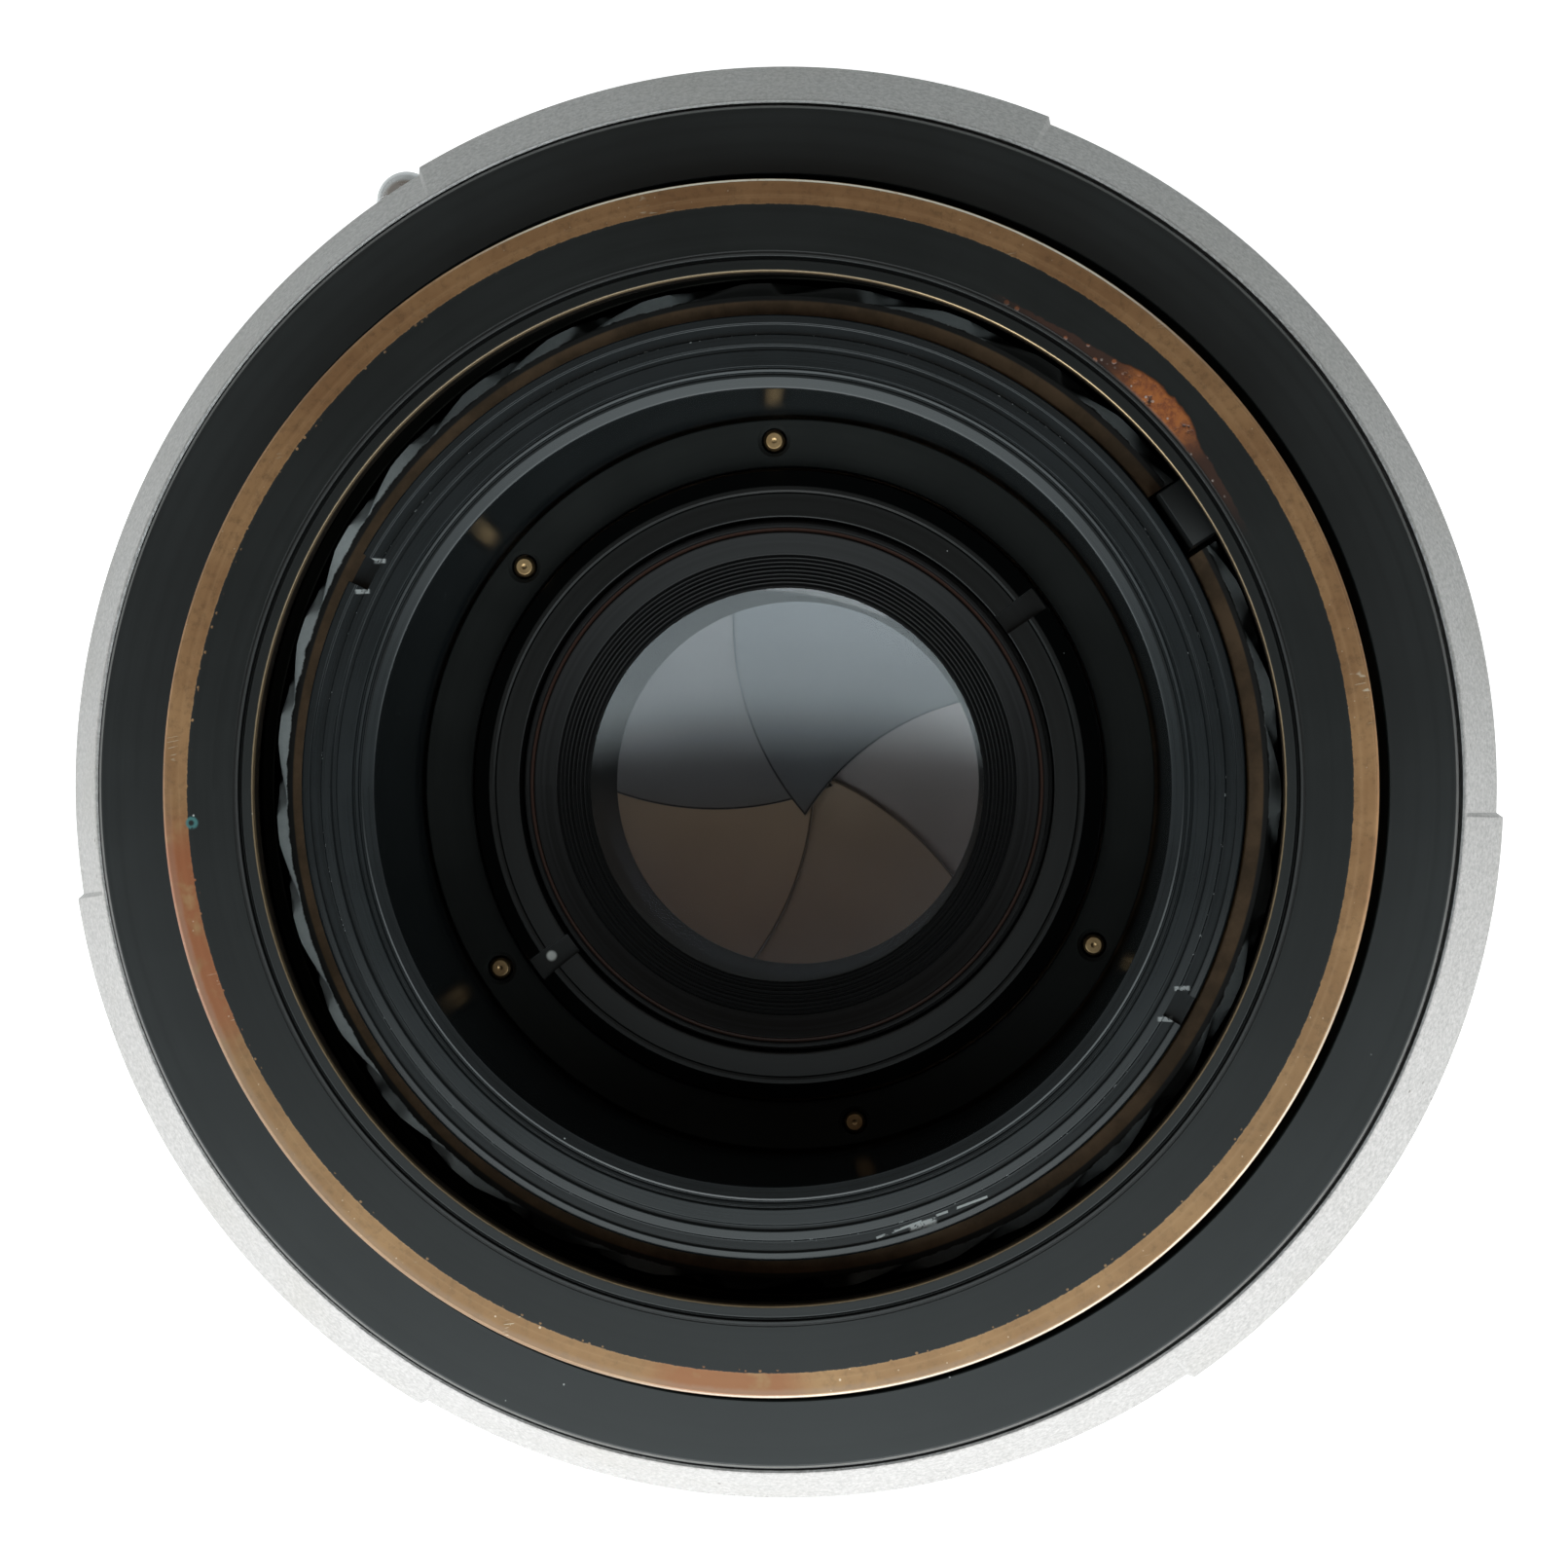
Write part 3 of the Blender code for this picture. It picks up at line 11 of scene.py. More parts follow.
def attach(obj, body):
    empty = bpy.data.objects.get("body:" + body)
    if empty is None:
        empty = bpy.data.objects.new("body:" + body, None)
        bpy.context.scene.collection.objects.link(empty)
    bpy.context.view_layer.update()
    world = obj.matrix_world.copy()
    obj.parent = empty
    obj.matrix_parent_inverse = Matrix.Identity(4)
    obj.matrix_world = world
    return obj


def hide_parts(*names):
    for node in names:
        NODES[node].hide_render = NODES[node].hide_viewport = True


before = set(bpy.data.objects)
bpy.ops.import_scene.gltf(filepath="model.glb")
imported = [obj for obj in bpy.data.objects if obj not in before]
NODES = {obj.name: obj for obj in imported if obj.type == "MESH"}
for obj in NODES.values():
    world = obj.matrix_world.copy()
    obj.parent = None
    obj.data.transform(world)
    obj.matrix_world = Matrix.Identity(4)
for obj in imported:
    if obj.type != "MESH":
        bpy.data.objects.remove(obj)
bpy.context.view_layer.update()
MM = 0.001
SHARP_ANGLE = 32.0  # creases sharper than this stay sharp

# ---- camera ----

FOCAL_MM = 81.12  # on a 36 mm wide sensor
CAM_FACE = 68.5  # level of the cam ring's face
FACE_IN_CAMERA = Vector((-1.06, -1.0, -187.0))  # the face's centre, seen from the camera
LENS_Z_IN_CAMERA = Vector((-0.066, -0.009, 0.9978))


def place_camera():
    z = LENS_Z_IN_CAMERA.normalized()
    x = Vector((1, 0, 0))
    x = (x - z * x.dot(z)).normalized()
    y = z.cross(x)
    turn = Matrix((x, y, z)).transposed()
    origin = (FACE_IN_CAMERA - z * CAM_FACE) * MM
    data = bpy.data.cameras.new("camera")
    data.sensor_width = 36.0
    data.lens = FOCAL_MM
    data.clip_start = 0.005
    camera = add_object("camera", data)
    camera.matrix_world = (Matrix.Translation(origin) @ turn.to_4x4()).inverted()
    bpy.context.scene.camera = camera


# ---- shader arithmetic ----

class V:
    """A number in a material's node tree: arithmetic on it adds Math nodes."""

    def __init__(self, paint, socket):
        self.paint, self.socket = paint, socket

    def op(self, name, *others):
        node = self.paint.node("Math", operation=name)
        for k, value in enumerate((self, *others)):
            self.paint.feed(node.inputs[k], value)
        return V(self.paint, node.outputs[0])

    def __add__(self, o): return self.op("ADD", o)
    def __sub__(self, o): return self.op("SUBTRACT", o)
    def __rsub__(self, o): return (self * -1.0) + o
    def __mul__(self, o): return self.op("MULTIPLY", o)
    def __truediv__(self, o): return self.op("DIVIDE", o)
    def abs(self): return self.op("ABSOLUTE")
    def fract(self): return self.op("FRACT")
    def most(self, o): return self.op("MAXIMUM", o)
    def power(self, o): return self.op("POWER", o)

    def ramp(self, low, high, at_low=0.0, at_high=1.0):
        """Smooth step from at_low to at_high."""
        node = self.paint.node("MapRange", interpolation_type="SMOOTHSTEP")
        for k, value in enumerate((self, low, high, at_low, at_high)):
            self.paint.feed(node.inputs[k], value)
        return V(self.paint, node.outputs[0])

    def band(self, centre, half, soft):
        """1 within half of the centre, 0 past half + soft."""
        return (self - centre).abs().ramp(half, half + soft, 1.0, 0.0)


class Graph:
    """Node tree that the arithmetic of V works in."""

    def __init__(self, tree):
        self.tree = tree

    def node(self, kind, **settings):
        node = self.tree.nodes.new("ShaderNode" + kind)
        for key, value in settings.items():
            setattr(node, key, value)
        return node

    def feed(self, socket, value):
        """Gives a socket a plain number, or links a V or an output to it."""
        if isinstance(value, (int, float)):
            socket.default_value = value
        else:
            self.tree.links.new(value.socket if isinstance(value, V) else value, socket)

    def split(self, socket):
        """The three numbers of a vector."""
        node = self.node("SeparateXYZ")
        self.feed(node.inputs[0], socket)
        return [V(self, output) for output in node.outputs]


class Paint(Graph):
    """A Principled material whose patterns are laid out in millimetres of the lens."""

    def __init__(self, name, colour, metallic=0.0, roughness=0.5, **sockets):
        self.mat = bpy.data.materials.new(name)
        self.mat.use_nodes = True
        super().__init__(self.mat.node_tree)
        self.bsdf = self.tree.nodes["Principled BSDF"]
        self.bsdf.inputs["Base Color"].default_value = (*colour, 1.0)
        sockets.update(Metallic=metallic, Roughness=roughness)
        for key, value in sockets.items():
            self.bsdf.inputs[key.replace("_", " ")].default_value = value
        scale = self.node("VectorMath", operation="SCALE")
        scale.inputs["Scale"].default_value = 1 / MM
        self.feed(scale.inputs[0], self.node("TexCoord").outputs["Object"])
        self.point = scale.outputs[0]
        self.x, self.y, self.z = self.split(self.point)
        self.r = (self.x * self.x + self.y * self.y).power(0.5)
        self.angle = self.y.op("ARCTAN2", self.x) * (180 / math.pi)

    def vector(self, x, y, z):
        node = self.node("CombineXYZ")
        for k, value in enumerate((x, y, z)):
            self.feed(node.inputs[k], value)
        return node.outputs[0]

    def noise(self, scale, detail=2.0, roughness=0.5, at=None):
        node = self.node("TexNoise")
        for key, value in (("Scale", scale), ("Detail", detail), ("Roughness", roughness),
                           ("Vector", at or self.point)):
            self.feed(node.inputs[key], value)
        return V(self, node.outputs["Fac"])

    def specks(self, scale, radius, share):
        """Round specks: one in each cell of a Voronoi pattern, for a share of the cells."""
        node = self.node("TexVoronoi")
        self.feed(node.inputs["Scale"], scale)
        self.feed(node.inputs["Vector"], self.point)
        dot = V(self, node.outputs["Distance"]).ramp(radius * 0.6, radius, 1.0, 0.0)
        split = self.node("SeparateColor")
        self.feed(split.inputs[0], node.outputs["Color"])
        return dot * V(self, split.outputs[0]).ramp(share, share + 0.01, 1.0, 0.0)

    def turning(self, scale):
        """Noise that runs round the axis, as a lathe leaves it."""
        at = self.vector(self.r * scale, self.z * scale, self.angle * 0.0012)
        return self.noise(1.0, 3.0, 0.6, at)

    def scratches(self, scale, width, tilt, seed):
        """Thin straight lines in one direction, broken up along their length."""
        along = self.x * math.cos(tilt) + self.y * math.sin(tilt)
        across = self.y * math.cos(tilt) - self.x * math.sin(tilt)
        drawn_out = self.vector(along * scale * 0.06 + seed, across * scale, seed)
        line = self.noise(1.0, 0.0, 0.5, drawn_out)
        elsewhere = self.vector(self.x + seed * 7, self.y - seed * 5, self.z)
        broken = self.noise(0.22, 1.0, 0.5, elsewhere)
        return line.band(0.5, width, width) * broken.ramp(0.55, 0.62)

    def arc(self, start, end, soft=2.0):
        """1 between two angles about the axis, counter-clockwise."""
        middle, half = (start + end) / 2, (end - start) / 2
        turned = (self.angle - middle + 540.0).op("WRAP", 360.0, 0.0) - 180.0
        return turned.abs().ramp(half - soft, half + soft, 1.0, 0.0)

    def near(self, angle, radius, size, soft):
        """1 round a place given by its angle and radius."""
        a = math.radians(angle)
        dx, dy = self.x - radius * math.cos(a), self.y - radius * math.sin(a)
        return (dx * dx + dy * dy).power(0.5).ramp(size, size + soft, 1.0, 0.0)

    def streak(self, start, end, width):
        """1 along a straight rub mark between two places."""
        length = math.hypot(end[0] - start[0], end[1] - start[1])
        ux, uy = (end[0] - start[0]) / length, (end[1] - start[1]) / length
        dx, dy = self.x - start[0], self.y - start[1]
        along, across = dx * ux + dy * uy, dy * ux - dx * uy
        ends = along.ramp(0.0, width, 0.0, 1.0) * along.ramp(length - width, length, 1.0, 0.0)
        return across.abs().ramp(width * 0.6, width, 1.0, 0.0) * ends

    def mix(self, share, low, high):
        """Colour between two: each is a triple or a colour socket."""
        node = self.node("Mix", data_type="RGBA")
        self.feed(node.inputs[0], share)
        for socket, value in ((node.inputs[6], low), (node.inputs[7], high)):
            if isinstance(value, tuple):
                socket.default_value = (*value, 1.0)
            else:
                self.feed(socket, value)
        return node.outputs[2]

    def use(self, socket, value):
        self.feed(self.bsdf.inputs[socket], value)

    def finish(self, colour, roughness, height=None):
        """Takes colour, roughness and the bump's height in millimetres; gives the material."""
        self.use("Base Color", colour)
        self.use("Roughness", roughness)
        if height:
            node = self.node("Bump")
            for key, value in (("Distance", MM), ("Strength", 1.0), ("Height", height)):
                self.feed(node.inputs[key], value)
            self.use("Normal", node.outputs[0])
        return self.mat


# ---- materials ----

def edge_wear(paint, edges, ragged=0.5):
    """1 on the edges of a turned piece, given as (radius, level, width)."""
    total = None
    rough = paint.noise(1.6, 4.0, 0.7) - 0.5
    for radius, level, width in edges:
        dr, dz = paint.r - radius, paint.z - level
        away = (dr * dr + dz * dz).power(0.5) + rough * (ragged * width * 2)
        one = away.ramp(width * 0.6, width, 1.0, 0.0)
        total = one if total is None else total.most(one)
    return total


def satin_chrome(name, edges, ticks=None):
    """Sand-blasted chrome with pitted edges; ticks: index lines' radius, half length, pitch."""
    p = Paint(name, (0.56, 0.56, 0.555), metallic=1.0, roughness=0.42)
    grain = p.noise(4.2, 3.0, 0.75)
    cloud = p.noise(0.1, 4.0, 0.6)
    colour = p.mix(grain.ramp(0.22, 0.78), (0.35, 0.342, 0.337), (0.59, 0.575, 0.567))
    colour = p.mix(cloud.ramp(0.45, 0.75) * 0.3, colour, (0.43, 0.41, 0.37))
    patches = p.noise(0.16, 2.0).ramp(0.5, 0.62)
    pits = p.specks(1.3, 0.16, 0.1) * patches
    worn = edge_wear(p, edges, 1.6)
    patches = patches.most(p.arc(57, 92, 6) * p.r.ramp(38.2, 37.9))
    pits = pits.most(p.noise(3.0, 4.0, 0.8).ramp(0.6, 0.66) * worn * patches)
    colour = p.mix(pits * 0.85, colour, (0.09, 0.08, 0.065))
    if ticks:
        radius, half, pitch = ticks
        line = (p.angle / pitch).fract().band(0.5, 0.16 / pitch, 0.06 / pitch)
        line = line * p.arc(140, 330, 0.5) * p.r.band(radius, half, 0.05)
        colour = p.mix(line, colour, (0.012, 0.012, 0.012))
    return p.finish(colour, grain * 0.14 + cloud * 0.1 + 0.32, grain * 0.016 - pits * 0.012)


def bright_chrome():
    """Polished chrome with a few pits, one material for the levers and sockets."""
    p = Paint("bright_chrome", (0.78, 0.79, 0.8), metallic=1.0, roughness=0.14)
    cloud = p.noise(0.5, 4.0, 0.6)
    marks = p.scratches(9.0, 0.01, 0.4, 2.0)
    pits = p.specks(1.6, 0.12, 0.1)
    colour = p.mix(cloud, (0.7, 0.71, 0.72), (0.84, 0.85, 0.86))
    return p.finish(p.mix(pits, colour, (0.16, 0.14, 0.11)),
                    cloud * 0.12 + marks * 0.15 + pits * 0.3 + 0.2,
                    cloud * 0.003 - marks * 0.003 - pits * 0.01)


def black_paint(name, edges=(), colour=(0.0062, 0.0074, 0.0076), roughness=0.31, dust=0.04,
                worn=(0.2, 0.17, 0.13), level=0.43):
    """Smooth black over metal, worn through on its edges, with a few motes of dust."""
    p = Paint(name, colour, roughness=roughness, Specular_IOR_Level=level)
    lines = p.turning(5.0)
    cloud = p.noise(0.15, 4.0, 0.6)
    shade = tuple(c * 1.35 for c in colour)
    paint = p.mix((lines * 0.4 + cloud * 0.6).ramp(0.35, 0.7), colour, shade)
    motes = p.specks(0.62, 0.045, dust)
    paint = p.mix(motes, paint, (0.3, 0.31, 0.3))
    if edges:
        bare = edge_wear(p, edges)
        paint = p.mix(bare, paint, worn)
        p.use("Metallic", bare * 0.85)
        dull = bare * -0.1 + lines * 0.05 + cloud * 0.05 + (roughness - 0.05)
    else:
        dull = lines * 0.06 + cloud * 0.06 + (roughness - 0.06)
    return p.finish(paint, dull, lines * 0.0015 + motes * 0.012)


def aged_brass(name, turned=4.0, painted_shade_above=None):
    """Brown, cloudy brass; near black above a level if one is given, as painted shade."""
    p = Paint(name, (0.36, 0.24, 0.12), metallic=1.0, roughness=0.36)
    lines = p.turning(turned)
    cloud = p.noise(0.22, 5.0, 0.65)
    fine = p.noise(2.5, 3.0, 0.7)
    colour = p.mix(cloud.ramp(0.35, 0.65), (0.3, 0.19, 0.09), (0.42, 0.3, 0.16))
    colour = p.mix(fine.ramp(0.5, 0.8) * 0.5, colour, (0.22, 0.14, 0.07))
    if painted_shade_above is not None:
        colour = p.mix(p.z.ramp(painted_shade_above - 1.5, painted_shade_above), colour, (0.007, 0.007, 0.006))
    return p.finish(colour, lines * 0.12 + cloud * 0.14 + 0.24, lines * 0.003 + fine * 0.003)


def cam_ring_material():
    """Bare brass band round a black face, with rust, verdigris and wear."""
    p = Paint("cam_ring_brass_and_black", (0.4, 0.28, 0.14), metallic=1.0, roughness=0.36,
              Specular_IOR_Level=0.36)
    lines = p.turning(4.0)
    cloud = p.noise(0.16, 4.0, 0.6)
    fine = p.noise(2.2, 4.0, 0.7)
    coarse = p.noise(0.55, 3.0, 0.65)
    # brass: brown, copper-red in two stretches, pinker below and darker below as painted shade,
    # pale on the chamfer in two arcs as a painted highlight
    brass = p.mix(cloud.ramp(0.38, 0.62), (0.31, 0.17, 0.084), (0.4, 0.23, 0.114))
    brass = p.mix(fine.ramp(0.45, 0.75) * 0.55, brass, (0.17, 0.1, 0.055))
    brass = p.mix(lines.ramp(0.52, 0.7) * 0.35, brass, (0.46, 0.29, 0.16))
    copper = (p.arc(184, 205, 3) * 0.95).most(p.arc(259.5, 273.5, 2.5) * 0.9)
    brass = p.mix(copper * coarse.ramp(0.3, 0.5), brass, (0.32, 0.118, 0.058))
    pink = p.arc(186, 300, 12) * (p.r + (fine - 0.5) * 0.3).ramp(31.72, 31.98)
    brass = p.mix(pink * 0.35, brass, (0.4, 0.3, 0.245))
    # darker between 200 and 345 degrees: painted shade on the lower side
    brass = p.mix(p.arc(200, 345, 18) * 0.42, brass, (0.16, 0.11, 0.065))
    flecks = p.specks(1.25, 0.1, 0.14).most(p.specks(3.1, 0.16, 0.12) * 0.7)
    brass = p.mix(flecks * 0.7, brass, (0.62, 0.5, 0.38))
    nicks = p.scratches(2.6, 0.012, 0.2, 3.0) * coarse.ramp(0.58, 0.66)
    brass = p.mix(nicks * 0.7, brass, (0.7, 0.62, 0.48))
    # the chamfer is pale only in two arcs: a painted highlight
    painted_glint_arcs = (p.arc(50, 116, 9)).most(p.arc(262, 338, 14) * 0.75)
    chamfer = edge_wear(p, [(32.26, 68.46, 0.12)], 0.25)
    brass = p.mix(chamfer * painted_glint_arcs * fine.ramp(0.2, 0.42), brass, (0.8, 0.76, 0.64))
    # black face
    shade = (lines * 0.4 + cloud * 0.6).ramp(0.35, 0.7)
    black = p.mix(shade, (0.0045, 0.0055, 0.0055), (0.007, 0.0082, 0.0082))
    motes = p.specks(0.62, 0.045, 0.035)
    black = p.mix(motes, black, (0.28, 0.29, 0.28))
    joint = p.r.band(28.12, 0.05, 0.05).most(p.r.band(28.42, 0.03, 0.05) * 0.8)
    black = p.mix(joint * 0.8, black, (0.0015, 0.0015, 0.0015))
    # the paler ring between the two joint lines is a painted highlight
    rim = p.r.band(28.27, 0.05, 0.05) * 0.35
    black = p.mix(rim, black, (0.05, 0.05, 0.05))
    # rust: a crescent along the joint, solid in its middle and specks at its ends
    middle = p.arc(39.5, 48.5, 3.0)
    ends = p.arc(30.5, 62.5, 4.0)
    wide = middle * 0.5 + p.arc(35.0, 54.0, 7.0) * 0.42 + 0.36
    inside = (p.r - 28.5 + (coarse - 0.5) * 0.7) / wide
    crescent = inside.ramp(0.86, 1.03, 1.0, 0.0) * p.r.ramp(28.42, 28.62)
    solid = crescent * middle * p.noise(1.4, 3.0, 0.6).ramp(0.28, 0.4)
    grains = crescent * ends * p.specks(1.9, 0.33, 0.62)
    pale = crescent * ends * inside.ramp(0.1, 0.55, 1.0, 0.0) * p.specks(2.6, 0.24, 0.5)
    black = p.mix(crescent * ends * 0.6, black, (0.04, 0.016, 0.01))
    black = p.mix(grains * 0.8, black, (0.165, 0.052, 0.02))
    rust = p.mix(fine.ramp(0.35, 0.65), (0.11, 0.025, 0.003), (0.215, 0.062, 0.008))
    black = p.mix(solid, black, rust)
    black = p.mix(pale * 0.8, black, (0.25, 0.21, 0.19))
    # gold line on the inner lip
    lip = (p.r + (fine - 0.5) * 0.05).ramp(27.43, 27.5, 1.0, 0.0)
    lip = lip * (p.arc(36, 72, 9) * 0.6 + 0.4)
    black = p.mix(lip, black, (0.46, 0.33, 0.19))
    # the black ends at a ragged edge; the ring's outside below the face is greasy
    ragged = (p.noise(3.0, 4.0, 0.8) - 0.5) * 0.16
    painted = (p.r + ragged).ramp(30.93, 30.99, 1.0, 0.0)
    crumbs = p.specks(3.0, 0.3, 0.4) * p.r.band(30.9, 0.05, 0.12) * p.arc(130, 330, 20)
    painted = painted * (crumbs * -0.8 + 1.0)
    verdigris = p.near(183.4, 30.75, 0.26, 0.14) * (1.0 - p.near(183.4, 30.78, 0.09, 0.12))
    side = (p.z + ragged).ramp(67.9, 68.15, 1.0, 0.0)
    colour = p.mix(painted, brass, black)
    colour = p.mix(verdigris * fine.ramp(0.35, 0.5), colour, (0.035, 0.105, 0.105))
    grease = p.noise(0.35, 4.0, 0.65).ramp(0.42, 0.62)
    flank_grease_and_shade = p.mix(grease, (0.012, 0.012, 0.009), (0.06, 0.066, 0.055))
    # inside, under r 29.5, near black: painted shade in the gap under the lip; outside, grease
    flank_grease_and_shade = p.mix(p.r.ramp(29.5, 29.65), (0.004, 0.004, 0.004), flank_grease_and_shade)
    colour = p.mix(side, colour, flank_grease_and_shade)
    bare = (1.0 - painted) * (1.0 - side) * (1.0 - verdigris)
    p.use("Metallic", bare.most(lip * painted * 0.8))
    dull = bare * (lines * 0.1 + 0.3) + (1.0 - bare) * (lines * 0.05 + 0.27) + solid * 0.2
    return p.finish(colour, dull, lines * 0.0015 + fine * bare * 0.002 + painted * 0.004
                    + solid.most(grains) * 0.03 - joint * 0.05)


def glass(name, mirror=(1.0, 1.0, 1.0)):
    """Polished glass with faint haze; mirror is lower on a coated face."""
    tint = (0.93, 0.97, 1.0)
    p = Paint(name, tint, roughness=0.03, Transmission_Weight=1.0, IOR=1.52,
              Specular_Tint=(*mirror, 1.0))
    haze = p.noise(0.2, 3.0, 0.6)
    p.use("Base Color", p.mix(haze.ramp(0.3, 0.7) * 0.5, tint, tuple(c * 0.97 for c in tint)))
    return p.mat


def blade_steel(name, tint=(0.33, 0.375, 0.385), rims=()):
    """Dark spring steel, smooth; rims are circles (x, y, radius, side) that its edges follow, and
    the colour darkens along them as painted shade.
    """
    p = Paint(name, tint, metallic=1.0, roughness=0.34)
    cloud = p.noise(0.12, 2.0, 0.5)
    colour = p.mix(cloud.ramp(0.3, 0.7), tuple(c * 0.82 for c in tint), tint)
    # each rim darkens the colour just inside the edge: painted shade
    for x, y, radius, side in rims:
        dx, dy = p.x - x, p.y - y
        inward = ((dx * dx + dy * dy).power(0.5) - radius) * side
        colour = p.mix(inward.ramp(0.07, 0.13, 0.85, 0.0), colour, tuple(c * 0.12 for c in tint))
    return p.finish(colour, cloud * 0.05 + 0.31)


def plain_steel(name):
    """Turned steel, grey and a little cloudy."""
    p = Paint(name, (0.3, 0.3, 0.3), metallic=1.0, roughness=0.35)
    lines = p.turning(6.0)
    cloud = p.noise(0.3, 4.0, 0.6)
    return p.finish(p.mix(cloud, (0.22, 0.22, 0.215), (0.4, 0.4, 0.395)),
                    lines * 0.2 + cloud * 0.15 + 0.18, lines * 0.004)


# ---- shapes ----

def smooth(mesh, sharp=SHARP_ANGLE):
    mesh.shade_smooth()
    mesh.set_sharp_from_angle(angle=math.radians(sharp))


def add_object(name, data):
    obj = bpy.data.objects.new(name, data)
    bpy.context.scene.collection.objects.link(obj)
    return obj


def shift(obj, at):
    """Moves a mesh sideways to an (x, y) place."""
    obj.data.transform(Matrix.Translation((at[0] * MM, at[1] * MM, 0)))
    return obj


def dress(obj, body, material, slot, *nodes):
    """Gives a piece its material, its body and the nodes it stands for; the slot argument is not
    used.
    """
    obj.data.materials.clear()
    obj.data.materials.append(material)
    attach(obj, body)
    if nodes:
        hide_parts(*nodes)
    return obj


def soften(outline, radius=0.12, steps=3):
    """The closed outline with its corners rounded, and points that hold the flats flat."""
    points = []
    n = len(outline)
    for i, corner in enumerate(outline):
        size = corner[2] if len(corner) > 2 else radius
        before = np.array(outline[i - 1][:2], float)
        here = np.array(corner[:2], float)
        after = np.array(outline[(i + 1) % n][:2], float)
        to_before, to_after = before - here, after - here
        room_b, room_a = np.linalg.norm(to_before), np.linalg.norm(to_after)
        u, v = to_before / room_b, to_after / room_a
        half = math.acos(max(-1.0, min(1.0, float(u @ v)))) / 2
        if size <= 0 or half > math.radians(83) or half < math.radians(4):
            points.append(tuple(here))
            continue
        reach = min(size / math.tan(half), 0.42 * room_b, 0.42 * room_a)
        size = reach * math.tan(half)
        centre = here + (u + v) / np.linalg.norm(u + v) * (size / math.sin(half))
        start, end = here + u * reach, here + v * reach
        a0 = math.atan2(*(start - centre)[::-1])
        a1 = math.atan2(*(end - centre)[::-1])
        turn = (a1 - a0 + math.pi) % math.tau - math.pi
        hold = min(0.06, 0.15 * min(room_b, room_a))
        points.append(tuple(start + u * hold))
        for k in range(steps + 1):
            a = a0 + turn * k / steps
            points.append((centre[0] + size * math.cos(a), centre[1] + size * math.sin(a)))
        points.append(tuple(end + v * hold))
    return points


def turned(name, outline, segments=240, shape=None, extra_angles=(), sharp=SHARP_ANGLE):
    """Ring of a closed (radius, z) outline; shape(r, z, angle) may move its points in r and z."""
    angles = np.arange(segments) * 360.0 / segments
    if len(extra_angles):
        angles = np.unique(np.concatenate([angles, np.asarray(extra_angles) % 360.0]))
    profile = np.array(outline, float)
    following = np.roll(profile, -1, axis=0)
    area = np.sum(profile[:, 0] * following[:, 1] - following[:, 0] * profile[:, 1])
    if area < 0:
        profile = profile[::-1]
    rows, columns = len(profile), len(angles)
    r = np.repeat(profile[:, :1], columns, 1)
    z = np.repeat(profile[:, 1:2], columns, 1)
    a = np.repeat(angles[None, :], rows, 0)
    if shape:
        r, z = shape(r, z, a)
    t = np.radians(a)
    verts = np.stack([r * np.cos(t), r * np.sin(t), z], -1).reshape(-1, 3)
    faces = []
    for i in range(rows):
        low, high = i * columns, (i + 1) % rows * columns
        if profile[i, 0] == 0 and profile[(i + 1) % rows, 0] == 0:
            continue
        for j in range(columns):
            k = (j + 1) % columns
            faces.append((low + j, low + k, high + k, high + j))
    mesh = bpy.data.meshes.new(name)
    mesh.from_pydata((verts * MM).tolist(), [], faces)
    smooth(mesh, sharp)
    obj = add_object(name, mesh)
    if (profile[:, 0] == 0).any():
        clean(obj, sharp)
    return obj


def clean(obj, sharp):
    """Merges points that coincide and drops what has no area."""
    bm = bmesh.new()
    bm.from_mesh(obj.data)
    bmesh.ops.remove_doubles(bm, verts=bm.verts, dist=1e-7)
    bmesh.ops.dissolve_degenerate(bm, edges=bm.edges, dist=1e-8)
    bmesh.ops.recalc_face_normals(bm, faces=bm.faces)
    bm.to_mesh(obj.data)
    bm.free()
    smooth(obj.data, sharp)


def boolean(obj, tools, operation="DIFFERENCE"):
    """Cuts or joins at once, so that no modifier is left."""
    for tool in tools:
        step = obj.modifiers.new("step", "BOOLEAN")
        step.operation = operation
        step.solver = "EXACT"
        step.object = tool
    bpy.context.view_layer.update()
    result = obj.evaluated_get(bpy.context.evaluated_depsgraph_get())
    mesh = bpy.data.meshes.new_from_object(result)
    obj.modifiers.clear()
    obj.data = mesh
    for tool in tools:
        bpy.data.objects.remove(tool, do_unlink=True)
    smooth(obj.data)


def polar(radius, angle):
    a = math.radians(angle)
    return radius * math.cos(a), radius * math.sin(a)


def rod(radius, z0, z1, at, segments=24):
    """Plain cylinder, as a tool for holes."""
    return shift(turned("hole", [(0, z0), (radius, z0), (radius, z1), (0, z1)], segments), at)


def radial(obj, angle):
    """Lays a socket that is turned about Z along the lens radius at an angle."""
    lay = Matrix.Rotation(math.radians(90), 4, "Y")
    turn = Matrix.Rotation(math.radians(angle), 4, "Z")
    obj.data.transform(Matrix.Translation((0, 0, SOCKET_LEVEL * MM)) @ turn @ lay)
    return obj


